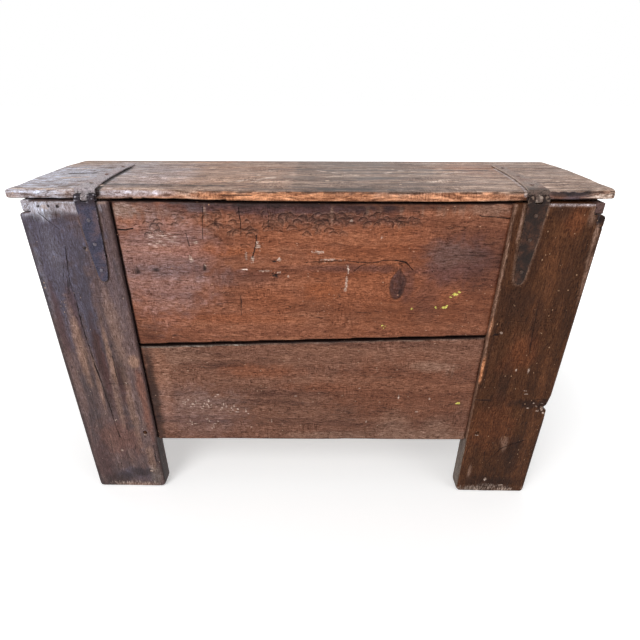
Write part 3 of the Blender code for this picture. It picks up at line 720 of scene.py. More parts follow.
# Thin scratches and scrapes on the lid's top: tone, half width, strength, paths by x and y
LID_SCRATCHES = (
    ("chalk", 4.4, 0.94, (((-190, -115), (-140, -85)), ((-620, 40), (-580, 52)))),
    ("chalk", 4.8, 1.00, (
        ((-135, -105), (-105, -70), (-90, -65)), ((-585, -186), (-500, -180), (-478, -150)),
        ((-660, -182), (-600, -186)),
    )),
    ("chalk", 4.1, 0.85, (((-410, -20), (-360, -16)), ((270, -110), (330, -85), (380, -100)))),
    ("chalk", 4.1, 0.94, (((-270, 60), (-210, 72)),)),
    ("chalk", 3.7, 0.77, (
        ((-330, 110), (-260, 114)), ((-160, 10), (-90, 20)), ((-50, 165), (0, 135), (10, 170)),
        ((520, 90), (570, 94)),
    )),
    ("chalk", 3.7, 0.68, (
        ((10, 30), (60, -10), (90, 0)), ((40, -60), (100, -30), (130, -55)), ((100, 50), (170, 55)),
        ((190, -10), (230, 20), (270, 15)), ((210, 150), (240, 185), (250, 150)),
        ((340, 60), (410, 70), (470, 90)), ((330, -20), (370, 10), (420, 0)),
    )),
    ("chalk", 5.1, 1.00, (((-600, -80), (-550, -66)),)),
    ("umber", 5.0, 1.00, (((-620, 84), (-530, 86)),)),
    ("umber", 4.2, 1.00, (((-610, -25), (-550, -20)),)),
    ("umber", 4.2, 0.94, (
        ((50, 108), (200, 102), (340, 110)), ((-460, -140), (-360, -148), (-200, -150)),
    )),
    ("umber", 3.8, 0.85, (((-20, 162), (120, 168), (300, 160)), ((340, 30), (460, 36)))),
)
# Zones of the lid's worn near edge
LID_EDGE_ZONES = {
    "sand": (
        (-400, 896, 180, 14, 0.85), (-20, 899, 240, 6, 0.60), (140, 896, 100, 8, 0.40),
        (-620, 897, 90, 14, 0.60), (640, 896, 34, 14, 0.90),
    ),
    "raw": ((-300, 892, 140, 8, 0.45), (-60, 895, 260, 14, 0.78), (300, 895, 220, 12, 0.62)),
    "glow": ((120, 895, 400, 12, 0.45),),
    # The pale bluish patches at the edge's left end are painted sheen
    "bloom": ((-600, 898, 100, 16, 0.62), (-630, 904, 80, 6, 0.85), (-420, 900, 120, 10, 0.46)),
    "slate": ((-560, 891, 80, 6, 0.45), (572, 895, 56, 18, 0.90)),
    "dusk": ((-340, 889, 30, 5, 0.70), (-180, 889, 30, 4, 0.60)),
    "umber": ((560, 889, 50, 4, 0.40), (570, 903, 50, 6, 0.80)),
    "chalk": ((648, 893, 26, 7, 0.80),),
}
# Cracks: half width and depth, then the path by x and z
CRACKS = {
    "board_back_upper": (
        (1.7, 3.0, ((-442, 819), (-425, 817.5), (-406, 822))),
        (1.1, 2.2, ((-9, 742), (35, 744), (82, 747), (118, 743))),
        (1.3, 2.6, ((118, 743), (157, 743), (171, 748), (200, 749), (228, 743), (244, 725))),
        (0.9, 1.6, ((104, 720), (121, 734), (142, 741))),
        (1.1, 2.2, ((380, 855), (409, 852), (434, 850), (450, 849))),
        (0.9, 1.8, ((-170, 654), (-171, 628), (-172, 601))),
        (0.9, 1.6, ((-160, 872), (-157, 838), (-159, 802))),
        (1.1, 2.0, ((-122, 808), (-127, 777), (-136, 752))),
        (0.7, 1.0, ((-239, 878), (-244, 835), (-248, 798))),
        (0.8, 1.2, ((-285, 812), (-281, 780))),
        (0.7, 1.0, ((-94, 880), (-93, 852), (-95, 828))),
    ),
    "stile_back_left": (
        (1.1, 2.6, ((-569, 780), (-575, 735), (-580, 690), (-577, 640), (-579, 600))),
        (1.5, 3.4, ((-579, 600), (-578, 545), (-575, 500), (-573, 449), (-569, 400))),
        (1.1, 2.6, ((-569, 400), (-566, 368), (-562, 310), (-561, 260), (-556, 200))),
        (0.9, 1.6, ((-520, 480), (-522, 430), (-519, 380))),
        (0.9, 1.8, ((-462, 170), (-464, 120), (-462, 85))),
        (0.8, 1.3, ((-610, 860), (-590, 838), (-572, 822))),
        (0.8, 1.2, ((-548, 392), (-520, 390), (-495, 393))),
    ),
    "stile_back_right": (
        (0.9, 1.6, ((452, 351), (474, 350), (498, 351))),
        (0.9, 1.8, ((628, 334), (641, 341), (656, 342))),
        (0.8, 1.5, ((610, 352), (632, 356), (656, 352))),
        (0.8, 1.5, ((556, 640), (560, 560), (566, 500))),
        (0.8, 1.4, ((455, 548), (468, 556), (482, 559))),
        (0.8, 1.3, ((520, 205), (512, 160), (516, 125))),
        (1.0, 1.4, ((622, 210), (588, 196), (556, 176), (534, 142), (520, 112))),
        (1.1, 4.0, ((640, 833.5), (648, 832.5), (657, 833))),
    ),
}
# Splits of the same kind in the lid's near edge
LID_SPLITS = (
    (1.5, 6.0, ((632, 900), (650, 898.5), (664, 899.5), (676, 898.5))),
    (0.7, 2.5, ((600, 895), (618, 896.5), (632, 895.5))),
    (0.7, 2.2, ((-500, 900.5), (-487, 900))),
    (0.6, 1.6, ((-210, 901), (-150, 900), (-100, 901.5))),
)
# Short pale strokes on the back's lower board
PALE_TICKS = (
    (-357, 321), (-340, 333), (-336, 310), (-320, 326), (-305, 302), (-293, 315), (-284, 330),
    (-258, 351), (-248, 305), (-243, 318), (-232, 295), (-222, 306), (-352, 318), (-347, 326),
    (-331, 318), (-326, 313), (-312, 320), (-300, 309), (-297, 322), (-289, 318), (-286, 309),
    (-278, 314), (-263, 346), (-252, 299), (-236, 311), (-228, 288), (-218, 299), (-214, 312),
    (-208, 292), (-204, 301), (-181, 296), (-176, 285), (-170, 237), (-340, 250), (-295, 265),
    (-284, 232), (-345, 258), (-331, 246), (-290, 258), (-279, 240), (-273, 248), (-265, 256),
    (-110, 262), (-40, 350), (160, 262), (245, 350), (300, 300), (330, 345),
)
# Flakes, chips, nicks, holes and spilt paint by tone: x and z, half sizes along them, depth. The umber ones are
# small holes and pits, dark with painted shade
SCARS = {
    "board_back_upper": {
        "chalk": (
            (-281, 751, 4.5, 8.5, 1.0), (-267, 790, 6, 3, 0.6), (-120, 782, 7, 10, 1.2),
            (-136, 748, 5, 7, 1.5), (-150, 757, 3, 10, 0.9), (-71, 748, 5, 5, 1.0),
            (-157, 723, 11, 1.8, 0.7), (-108, 719, 17, 2.4, 1.6), (-76, 716, 7, 3, 1.2),
            (91, 727, 3.2, 8, 1.2), (89, 700, 3, 10, 0.9), (86, 673, 4.5, 6, 0.9),
            (20, 767, 14, 4.2, 0.4), (52, 749, 26, 2.2, 0.5), (-52, 706, 3, 3, 0.6),
            (-249, 731, 3.5, 3.5, 0.8), (166, 804.5, 3, 3, 0.5), (94, 842, 3, 3, 0.5),
            (91.5, 722, 2.4, 12, 0.9), (88, 685, 3, 12, 0.4),
        ),
        "umber": ((-83, 744, 5, 3, 1.4), (-82, 709, 8, 5, 2.0)),
        "yellow": (
            (352, 662, 7, 3.5, -0.3), (361, 669, 4, 3, -0.3), (331, 627.5, 6.5, 3, -0.3),
            (311, 626, 3, 2.5, -0.3), (252, 622, 2.5, 2.5, -0.3), (183, 574, 3, 2, -0.3),
            (190, 573, 2.5, 2, -0.3), (344, 655, 3, 2, -0.3), (338, 631.5, 3, 2, -0.3),
            (187, 567, 2, 1.5, -0.3),
        ),
    },
    "board_back_lower": {
        "chalk": (
            *((*spot, 1.9, 5.8, 0.5) for spot in PALE_TICKS[::3]),
            *((*spot, 4.2, 1.8, 0.5) for spot in PALE_TICKS[1::3]),
            *((*spot, 2.4, 3.8, 0.5) for spot in PALE_TICKS[2::3]), (135, 379, 3, 3, 0.5),
        ),
        "yellow": ((410, 332, 6.5, 3, -0.3),),
    },
    "stile_back_left": {
        "umber": (
            (-525, 776, 4.5, 4.5, 1.6), (-479.5, 759, 3.8, 4.5, 2.4), (-480, 218.5, 4.8, 4.2, 3.0),
            (-606, 874, 3, 3, 1.4), (-584, 875, 3, 4, 1.4), (-563, 873, 4, 4, 1.4),
        ),
        "chalk": (
            (-521, 773, 2.8, 2.8, 0.4), (-480, 210.5, 4.5, 2.2, 0.3), (-592, 872, 6, 6, 1.0),
            (-500, 395, 3.5, 3.5, 0.4), (-484, 66, 6, 3, 0.6), (-555, 265, 3, 3, 0.4),
            (-560, 150, 4, 4, 0.5),
        ),
    },
    "stile_back_right": {
        "umber": ((477, 233.5, 4.5, 4.2, 3.0), (470, 556, 6, 3, 1.4), (653, 830, 4.5, 3, 3.5)),
        "chalk": (
            (478, 225.5, 4.5, 2.2, 0.3), (543, 449, 2.8, 2.8, 0.5), (575, 447, 2.5, 7, 0.6),
            (482, 562, 4, 3, 0.7), (585, 372, 6, 2, 0.8), (580, 383, 5, 1.5, 0.6), (640, 322, 4, 8, 0.8),
            (628, 315, 5, 4, 0.6), (533, 52, 4, 6, 0.6), (583, 28, 8, 3, 0.6), (636, 341, 4, 2, 0.6),
            (622, 330, 3, 3, 0.6), (646, 309, 3, 3, 0.6), (614, 342, 3, 2, 0.6), (600, 325, 3, 2, 0.6),
        ),
        "bloom": ((640, 850, 1.2, 10, 0.2),),
    },
}
# How strongly each tone of scar shows
SCAR_STRENGTH = {"chalk": 0.52, "umber": 0.9, "yellow": 1.0, "bloom": 0.6}


def in_mm(points, plane):
    """Points as they lie in one plane, in the millimetres of the mark tables."""
    return points[:, plane] / MM


def far_off(flat, x, z, half_x, half_z):
    """Distance of flat points from a middle, counted in half sizes."""
    return np.linalg.norm((flat - (x, z)) / (half_x, half_z), axis=1)


def strays(skin, cells, seed):
    """How far each point's marks stray from their true place, so that no line is straight."""
    return np.stack([rough(skin.at, cell, seed + i) for i, cell in enumerate(cells)], axis=1)


def lay_zones(skin, flat, way, zones, seed):
    """Paints soft patches of tone on the faces that look one way."""
    seen = skin.looking(way, 0.2, 0.7)
    fray = rough(skin.at, 0.030, seed) * 0.35 + rough(skin.at, 0.009, seed + 1) * 0.25
    for tone, rows in zones.items():
        for *patch, strength in rows:
            skin.paint(tone, strength * seen * ease(far_off(flat, *patch) + fray, 1.45, 0.45))


def cut_cracks(skin, flat, cracks, seed):
    """Drying cracks in faces that look back, cut open and dark with painted shade."""
    flat = flat + 0.9 * strays(skin, (0.007, 0.009), seed)
    seen = skin.looking(BACKWARD)
    for half, depth, path in cracks:
        gap = off_path(flat, path)
        thin = half * (0.75 + 0.45 * rough(skin.at, 0.016, seed + 2))
        skin.push(-(ease(gap, 1.3 * thin, 0.25 * thin) * seen * depth * MM))
        # Painted shade along the crack
        skin.paint("umber", ease(gap, 1.7 * thin, 0.7 * thin) * seen)


def cut_scars(skin, flat, scars, seed):
    """Small places where the surface is broken away, or where something has dried on it."""
    fray = 0.55 * rough(skin.at, 0.0045, seed) + 0.45 * rough(skin.at, 0.0020, seed + 1)
    seen = skin.looking(BACKWARD, 0.0, 0.5)
    for tone, rows in scars.items():
        for *patch, depth in rows:
            inside = ease(far_off(flat, *patch) + fray, 1.15, 0.7) * seen
            skin.layers["wear"] *= 1 - inside
            skin.push(-(inside * depth * MM))
            skin.paint(tone, SCAR_STRENGTH[tone] * inside)


def scratch(skin, flat, scratches, seed):
    """Lines on the lid's top too shallow to cut, broken where the tool skipped."""
    flat = flat + 1.2 * strays(skin, (0.010, 0.012), seed)
    skipped = 0.7 + 0.5 * rough(skin.at, 0.011, seed + 2)
    seen = skin.looking(UPWARD)
    for tone, half, strength, paths in scratches:
        for path in paths:
            line = ease(off_path(flat, path), 2.2 * half, 0.6 * half)
            skin.paint(tone, strength * skipped * line * seen)


# How far round a mark the faces are split, at the first step
MARK_ROOM_MM = 4.0


def near_marks(cracks, scars):
    """Says which faces of the back lie close to a crack or a scar."""
    def near(middles, normals, step):
        flat = in_mm(middles, BACK_PLANE)
        room = MARK_ROOM_MM / (step + 1)
        close = np.zeros(len(flat), bool)
        for half, _, path in cracks:
            close |= off_path(flat, path) < half + room
        for x, z, half_x, half_z, _ in itertools.chain(*scars.values()):
            close |= (np.abs(flat - (x, z)) < np.array((half_x, half_z)) * 1.3 + room).all(axis=1)
        return close & (normals @ np.array(BACKWARD) > 0.6)

    return near


# Depth that is worn off the corners, and how many times more of it goes at the feet
ARRIS_LOSS = 1.6 * MM
LID_ARRIS_LOSS = 1.4 * MM
FOOT_LOSS = 3.6


def wear_arrises(skin, depth, seed):
    """Rounds and chips the outward corners unevenly."""
    wear = skin.layers["wear"]
    uneven = 0.55 + 0.45 * rough(skin.at, 0.045, seed)
    chips = ease(rough(skin.at, 0.014, seed + 1), 0.45, 0.85) * ease(wear, 0.45, 0.9)
    foot = 1.0 + FOOT_LOSS * ease(skin.at[:, 2], 24 * MM, 4 * MM)
    lost = depth * foot * (wear ** 1.6 * uneven + 0.9 * chips)
    skin.push(-lost)


def weather(skin, grain, seed):
    """Low waves of the hand plane and raised grain, both cut into the face and never built up on it."""
    ridge, wave = np.full(3, 0.007), np.full(3, 0.045)
    ridge[AXES[grain]], wave[AXES[grain]] = 0.16, 0.12
    low = 0.35 * rough(skin.at, wave, seed) + 0.16 * rough(skin.at, ridge, seed + 1) - 0.42
    skin.push(low * MM)


# Where the bites lie on the back's upper board: share of them, then the ranges of x and z
BITE_FIELDS = (
    (0.06, (-0.40, -0.33), (0.812, 0.852)),
    (0.05, (-0.33, -0.24), (0.830, 0.862)),
    (0.66, (-0.24, 0.08), (0.810, 0.864)),
    (0.23, (0.08, 0.25), (0.836, 0.866)),
)
BITE_COUNT = 150
# Ranges of half width, depth and arch of a bite, and how far it turns, in radians
BITE_HALF_MM = (7, 14)
BITE_DEPTH_MM = (0.9, 2.4)
BITE_ARCH = (0.35, 0.9)
BITE_TURN = 0.42
# Corners of the field that holds all their middles, by x and z
BITTEN_LOW, BITTEN_HIGH = (-0.415, 0.806), (0.255, 0.872)
# The knot's middle and half sizes, by x and z
KNOT_MIDDLE = (0.2125, 0.6880)
KNOT_HALF = (0.0190, 0.0390)


def adze_bites(skin, seed):
    """Curled bites of a blunt adze, each cut deep under its arched lip and running out below, with painted
    shade and highlights.
    """
    pick = np.random.default_rng(seed)
    x, z = skin.at[:, 0], skin.at[:, 2]
    seen = skin.looking(BACKWARD)
    sunk = np.zeros(len(x))
    for share, x_range, z_range in BITE_FIELDS:
        for _ in range(round(share * BITE_COUNT)):
            middle = pick.uniform(*x_range), pick.uniform(*z_range)
            half = pick.uniform(*BITE_HALF_MM) * MM
            turn = pick.normal(0.0, BITE_TURN)
            arch = pick.uniform(*BITE_ARCH)
            depth = pick.uniform(*BITE_DEPTH_MM) * MM
            near = (np.abs(x - middle[0]) < 2 * half) & (np.abs(z - middle[1]) < 2 * half)
            close = np.flatnonzero(near & (seen > 0))
            dx, dz = x[close] - middle[0], z[close] - middle[1]
            u = (dx * math.cos(turn) + dz * math.sin(turn)) / half
            v = (dz * math.cos(turn) - dx * math.sin(turn)) / half
            v = v + arch * u * u + 0.10 * rough(skin.at[close], 0.006, seed + 1)
            width = np.sqrt(np.clip(1 - u * u, 0, 1))
            bite = ease(v, 0.06, -0.22) * ease(v, -0.85 * width - 0.02, -0.10) * ease(width, 0.0, 0.35)
            sunk[close] = np.maximum(sunk[close], bite * depth * seen[close])
            strong = seen[close] * ease(width, 0.05, 0.5) * min(1.0, depth / (2.0 * MM))
            # Painted shade under each lip and down each scoop, and painted highlights on the rim below
            lip = ease(v, 0.12, -0.04) * ease(v, -0.34 * width - 0.02, -0.10)
            hollow_shade = ease(v, 0.06, -0.06) * ease(v, -0.70 * width - 0.02, -0.25)
            lit_rims = ease(np.abs(v - 0.22), 0.15, 0.04) + ease(np.abs(v + 0.74 * width), 0.18, 0.04)
            skin.paint("umber", 0.72 * strong * lip, close)
            skin.paint("umber", 0.40 * strong * hollow_shade, close)
            skin.paint("sand", 0.22 * strong * lit_rims, close)
    skin.push(-sunk)


def hewn_or_knotted(middles, normals, step):
    """Says which faces of the back's upper board carry the bites or the knot."""
    flat = middles[:, BACK_PLANE]
    bitten = ((flat > BITTEN_LOW) & (flat < BITTEN_HIGH)).all(axis=1)
    knotted = (np.abs(flat - KNOT_MIDDLE) < np.multiply(KNOT_HALF, (1.6, 1.4))).all(axis=1)
    past_stile = middles[:, 0] + STILE_INNER_X
    beside_stile = (past_stile < 14 * MM) & (past_stile > -2 * MM) & (step == 0)
    return (bitten | knotted | beside_stile) & (normals[:, 1] < -0.6)


def mark_inside(skin):
    """Surfaces that face the chest's inside were never polished."""
    low, high = np.array(INSIDE_LOW) - 2 * MM, np.array(INSIDE_HIGH) + 2 * MM
    within = ((skin.at > low) & (skin.at < high)).all(axis=1)
    skin.paint("inside", within.astype(float))


TEAR_Z = 0.326
TEAR_DEPTH = 7.0 * MM


def tear_edge(skin):
    """A bite torn out of the right stile's outer arris, below a cross crack."""
    x, y, z = skin.at.T.copy()
    ragged = 2.0 * MM * rough(skin.at, 0.006, 91)
    torn = ease(np.abs(z - TEAR_Z + ragged), 10 * MM, 3 * MM) * ease(y - STILE_FACE_Y, 30 * MM, 12 * MM)
    skin.at[:, 0] -= TEAR_DEPTH * torn * ease(x, 0.636, 0.656)
    # Painted shade in the torn place
    skin.paint("umber", 0.7 * torn * ease(x, 0.644, 0.652))


# Which side a back foot stands on, the tone of its face that looks at the other foot, painted shade on the left
# and painted light on the right, and how pale the stile is painted above that, as painted light
INNER_FEET = {"stile_back_left": (-1, "umber", 0.0), "stile_back_right": (1, "ash", 0.45)}


def light_and_shade_inner_feet(skin, side, tone, pale):
    """The side of a foot that faces the other foot, painted light on the right and painted shade on the left,
    and the stile's side above it painted lighter by the pale share.
    """
    inner = ease(-side * skin.normal[:, 0], 0.5, 0.8)
    foot = ease(skin.at[:, 2], 0.215, 0.195)
    skin.paint(tone, 0.8 * inner * foot * (0.8 + 0.4 * rough(skin.at, (0.02, 0.02, 0.05), 61)))
    skin.paint("sand", pale * inner * (1 - foot))


SAG_DEPTH = 2.8 * MM
SAG_MIDDLE_X = 0.08
# Where the sag ends on either side of its middle, and where it is full
SAG_REACH = (0.44, 0.20)
# The open joint between the back's boards climbs a little to the right
SEAM_Z = 0.5215
SEAM_SLOPE = 0.0407
# How far the boards' faces fall back beside the left stile
FALL_BACK = 3.0 * MM


def sag(x):
    """How far the middle of the lid's near edge, and of the board under it, has worn down."""
    return ease(np.abs(x - SAG_MIDDLE_X), *SAG_REACH)


def shade_in_corners(skin, node):
    """Painted shade beside the stiles, under the lid and in the seam, and a pale seam line, part wear, part
    painted highlight.
    """
    x, z = skin.at[:, 0], skin.at[:, 2]
    ragged = 2.5 * MM * rough(skin.at, 0.02, 77)
    seen = skin.looking(BACKWARD)
    # Painted shadow of the left stile on the board, and painted shade in the corner by the right stile
    skin.paint("umber", seen * ease(x + STILE_INNER_X + 0.4 * ragged, 9 * MM, 5 * MM))
    skin.paint("umber", 0.35 * seen * ease(STILE_INNER_X - x + ragged, 3 * MM, 0.5 * MM))
    skin.at[:, 1] += FALL_BACK * seen * ease(x + STILE_INNER_X, 8 * MM, 4 * MM)
    # Painted shade on faces that look up or down, in the seam and under the lid
    skin.paint("umber", ease(np.abs(skin.normal[:, 2]), 0.5, 0.8))
    if node.endswith("lower"):
        # Pale along the seam: partly worn wood, partly a painted highlight on the lower board's lit top edge
        line = ease(np.abs(z - SEAM_Z - SEAM_SLOPE * x + 0.4 * ragged), 4 * MM, 1.5 * MM)
        skin.paint("ash", seen * line * (0.35 + 0.55 * ease(x, -0.05, -0.25)))
    if node.endswith("upper"):
        # Painted shade under the lid
        skin.paint("umber", 0.70 * seen * ease(STILE_TOP_Z - z + ragged, 7 * MM, 3 * MM))
        skin.at[:, 2] -= 1.15 * SAG_DEPTH * sag(x) * ease(z, STILE_TOP_Z - 15 * MM, STILE_TOP_Z - 2 * MM)


def line_beside(skin, strap_points, tone, strength, width, sides):
    """A line of tone along a strap, as painted shadow, painted highlight or bare wood. Sides says how much of
    it lies left and right.
    """
    low = strap_points.min(axis=0) - 2 * width
    high = strap_points.max(axis=0) + 2 * width
    close = np.flatnonzero(((skin.at > low) & (skin.at < high)).all(axis=1))
    tree = KDTree(len(strap_points))
    for i, point in enumerate(strap_points):
        tree.insert(point, i)
    tree.balance()
    line = np.zeros(len(skin.at))
    for i in close:
        nearest, _, gap = tree.find(skin.at[i])
        right = float(ease(skin.at[i, 0] - nearest.x, -1 * MM, 1 * MM))
        line[i] = (sides[0] + (sides[1] - sides[0]) * right) * float(ease(gap, 1.3 * width, 0.55 * width))
    skin.paint(tone, strength * line)
    skin.layers["wear"] *= 1 - line


def carve_knot(skin, seed):
    """A pointed knot with rings round it."""
    u = (skin.at[:, 0] - KNOT_MIDDLE[0]) / KNOT_HALF[0]
    v = (skin.at[:, 2] - KNOT_MIDDLE[1]) / KNOT_HALF[1]
    u = u + 0.20 * rough(skin.at, (0.03, 1.0, 0.02), seed) - 0.12 * v
    narrow = 1.0 - 0.62 * np.clip(v, 0, 1) ** 1.4
    reach = np.hypot(u / narrow, np.where(v < 0, v * 0.95, v))
    seen = skin.looking(BACKWARD)
    core = ease(reach, 1.0, 0.85) * (0.34 + 0.18 * u + 0.34 * rough(skin.at, (0.0035, 1.0, 0.03), seed + 1))
    rings = 0.75 * ease(np.abs(reach - 0.98), 0.11, 0.03) + 0.35 * ease(np.abs(reach - 0.60), 0.11, 0.03)
    skin.paint("dusk", 0.75 * seen * ease(reach, 1.05, 0.85))
    skin.paint("umber", seen * np.clip(core + 0.6 * rings, 0, 1))
    skin.push(-(seen * (0.7 * ease(np.abs(reach - 1.0), 0.14, 0.03) + 0.4 * core) * MM))


def grain_round_knot(skin):
    """Pushes the grain aside so that it flows round the knot."""
    u = (skin.at[:, 0] - KNOT_MIDDLE[0]) / (KNOT_HALF[0] * 3.0)
    v = (skin.at[:, 2] - KNOT_MIDDLE[1]) / (KNOT_HALF[1] * 1.3)
    skin.layers["bend"] = -0.030 * np.clip(v, -1.5, 1.5) * np.exp(-u * u - v * v)


def worn_timber(node, grain, voxel, seed, lost, finer=()):
    """A timber remade in small faces, finer where it has marks, with worn corners and a weathered face."""
    piece = remade("oak_" + node, node, voxel)
    skin = Skin(piece)
    skin.paint("wear", skin.arrises(3))
    skin.write()
    for near, times in finer:
        refine(piece, near, times)
    skin = Skin(piece)
    skin.fetch("wear")
    wear_arrises(skin, lost, seed)
    weather(skin, grain, seed + 10)
    mark_inside(skin)
    return piece, skin


def hand_over(piece, skin, material, body, slot, *nodes):
    skin.write()
    skin.mesh.materials.append(material)
    skin.mesh.shade_smooth()
    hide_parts(*nodes)
    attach(piece, body)


def make_timber(node, body, slot, grain, finish, voxel, seed, strap=None):
    """A timber of the chest or a cleat of the lid, with the photograph's marks where it shows in it."""
    cracks, scars = CRACKS.get(node, ()), SCARS.get(node, {})
    finer = [(near_marks(cracks, scars), 2)] if scars else []
    if node == "board_back_upper":
        finer.append((hewn_or_knotted, 2))
    piece, skin = worn_timber(node, grain, voxel, seed, ARRIS_LOSS, finer)
    flat = in_mm(skin.at, BACK_PLANE)
    if node in ZONES:
        lay_zones(skin, flat, BACKWARD, ZONES[node], seed)
        cut_cracks(skin, flat, cracks, seed + 20)
        cut_scars(skin, flat, scars, seed + 30)
    if strap is not None:
        left = node.endswith("left")
        # Painted shadow beside the strap, heaviest on the left strap's right side, and a pale line of worn wood
        line_beside(skin, strap, "umber", 0.9, 4.5 * MM, (0.35, 1.0 if left else 0.3))
        line_beside(skin, strap, "sand", 0.40 if left else 0.70, 5.5 * MM, (0.6, 0.6 if left else 0.9))
    if node in INNER_FEET:
        light_and_shade_inner_feet(skin, *INNER_FEET[node])
    if node == "stile_back_right":
        tear_edge(skin)
    # The left cleat's back end takes the pale sheen tone, the right's a darker one
    if slot == "cleat":
        end = ease(skin.at[:, 1], -0.13, -0.17)
        skin.paint("bloom" if node.endswith("left") else "dusk", 0.75 * end)
    if node.startswith("board_back"):
        shade_in_corners(skin, node)
    if node == "board_back_upper":
        adze_bites(skin, seed + 40)
        carve_knot(skin, seed + 50)
        grain_round_knot(skin)
    hand_over(piece, skin, oak(finish, grain, seed), body, slot, node)


def shade_lid_middle(skin, seed):
    """Darkens the lid's middle with painted shade where its reflection is darker, from a sharp edge on its left
    to a soft one on its right.
    """
    x = skin.at[:, 0] + 5 * MM * rough(skin.at, (0.03, 0.05, 0.05), seed)
    top = ease(skin.normal[:, 2], 0.3, 0.8)
    uneven = 0.9 + 0.3 * rough(skin.at, (0.12, 0.03, 0.03), seed + 1)
    skin.paint("umber", 0.34 * top * uneven * ease(x, -0.050, -0.032) * ease(x, 0.350, 0.230))


def bump(x, middle, width):
    """A smooth rise about a middle."""
    return np.exp(-(((x - middle) / width) ** 2))


# Where the lid's lower arris is broken: middle and width along x
BROKEN_AT = ((-0.385, 0.030), (-0.180, 0.028))


def wear_and_shade_lower_arris(skin, edge, seed):
    """The lower arris of the lid's near edge: wavy, higher at its ends, broken in two places, and dark with
    painted shade.
    """
    x, _, z = skin.at.T.copy()
    wave = 0.5 + 0.5 * rough(skin.at, (0.060, 1.0, 1.0), seed)
    wave += 0.45 * rough(skin.at, (0.013, 1.0, 1.0), seed + 1)
    broken = sum(bump(x, *stretch) for stretch in BROKEN_AT)
    broken *= ease(rough(skin.at, (0.007, 1.0, 1.0), seed + 4), -0.5, 0.4)
    lift = 0.3 + 0.9 * np.clip(wave, 0, 1.4) * (1.6 - sag(x))
    lift += 1.8 * (bump(x, 0.530, 0.030) + 0.9 * bump(x, -0.30, 0.06))
    lift += 2.4 * ease(x, 0.515, 0.540) + 1.2 * ease(-x, 0.50, 0.55) + 3.4 * broken
    skin.at[:, 2] += edge * ease(z, LID_LOW_Z + 13 * MM, LID_LOW_Z) * lift * MM
    # Painted shade along the lower arris and where it is broken
    skin.paint("umber", 0.95 * edge * ease(z + 1.5 * MM * wave, LID_LOW_Z + 4 * MM, LID_LOW_Z + 1.5 * MM))
    skin.paint("umber", 0.85 * edge * np.clip(broken, 0, 1) * ease(z, LID_LOW_Z + 9 * MM, LID_LOW_Z + 3 * MM))
    return wave


def wear_upper_arris(skin, edge, x, z, wave, seed):
    """The ragged dark line along the top of the lid's near edge."""
    jagged = ease(rough(skin.at, (0.012, 1.0, 0.006), seed), -0.35, 0.15)
    line = ease(np.abs(z - LID_LOW_Z - 20.5 * MM + 1.2 * MM * wave), 2.6 * MM, 0.8 * MM)
    skin.paint("umber", 0.70 * edge * jagged * line * ease(x, -0.40, -0.15))


# How much the ends lose, how far the right near corner lifts and falls short, and how far the left one
# reaches out
END_LOSS = 1.6 * MM
RIGHT_LIFT = 3.0 * MM
RIGHT_SHORT = 5.0 * MM
LEFT_REACH = 7.5 * MM


def wear_lid_ends(skin, x, depth, seed):
    """The lid's uneven ends, which don't run square to its near edge."""
    skin.at[:, 2] += RIGHT_LIFT * ease(x, 0.54, 0.67) * ease(depth, 0.090, 0.010)
    uneven = 1 + rough(skin.at, (1.0, 0.045, 1.0), seed)
    skin.at[:, 0] -= np.sign(x) * ease(np.abs(x), 0.650, 0.675) * END_LOSS * uneven
    skin.at[:, 0] -= RIGHT_SHORT * ease(x, 0.655, 0.676) * ease(depth, 0.030, 0.0)
    skin.at[:, 0] -= LEFT_REACH * ease(-x, 0.650, 0.673) * ease(depth, 0.050, 0.0)


# The bitten stretch of the near edge along x: its ends and where the bites are full, and their depth
BITTEN_ENDS = (0.530, 0.610)
BITTEN_FULL = (0.545, 0.590)
EDGE_BITE = 3.2 * MM


def shape_lid_edge(skin, seed):
    """The lid's near edge: worn along both arrises, sagging, bitten beside the right hinge."""
    x, y, z = skin.at.T.copy()
    depth = y - LID_EDGE_Y
    edge = ease(depth, 0.020, 0.0)
    wave = wear_and_shade_lower_arris(skin, edge, seed)
    wear_upper_arris(skin, edge, x, z, wave, seed + 6)
    worn_in = edge * ease(np.abs(z - LID_LOW_Z - 9 * MM), 5 * MM, 15 * MM)
    skin.at[:, 1] += worn_in * (1.0 + 0.9 * rough(skin.at, (0.022, 0.05, 0.012), seed + 2)) * MM
    skin.at[:, 2] -= SAG_DEPTH * sag(x) * ease(depth, 0.130, 0.010)
    top = ease(z, LID_LOW_Z + 13 * MM, LID_LOW_Z + 21 * MM)
    left, right = (ease(x, end, full) for end, full in zip(BITTEN_ENDS, BITTEN_FULL))
    ragged = left * right * ease(depth, 0.012, 0.0)
    bites = ease(rough(skin.at, (0.008, 0.5, 0.5), seed + 3), -0.2, 0.7)
    skin.at[:, 2] -= ragged * top * bites * EDGE_BITE
    # Painted shade in the bites
    skin.paint("umber", 0.5 * ragged * bites)
    wear_lid_ends(skin, x, depth, seed + 8)


# How far the lid's finer faces reach from its near edge, and from the middle of a strap
EDGE_STRIP = 9 * MM
STRAP_STRIP = 32 * MM


def edge_or_strap(middles, normals, step):
    """Says which faces of the lid carry its worn near edge or lie beside a strap."""
    x, y, z = middles.T
    beside = (np.abs(np.abs(x) - HINGE_X) < STRAP_STRIP) & (z > LID_LOW_Z + 15 * MM)
    return (y < LID_EDGE_Y + EDGE_STRIP) | beside


# Lines along the lid's straps, 0 for the left and 1 for the right: tone, strength, width, share on each side.
# The dark lines are painted shadow, the pale ones a painted highlight along the right strap's left edge
LID_STRAP_LINES = (
    (0, "umber", 1.0, 11 * MM, (0.0, 1.0)),
    (1, "bloom", 1.0, 6 * MM, (1.0, 0.0)),
    (1, "chalk", 0.6, 6 * MM, (1.0, 0.0)),
    (1, "umber", 0.6, 5 * MM, (0.0, 1.0)),
)


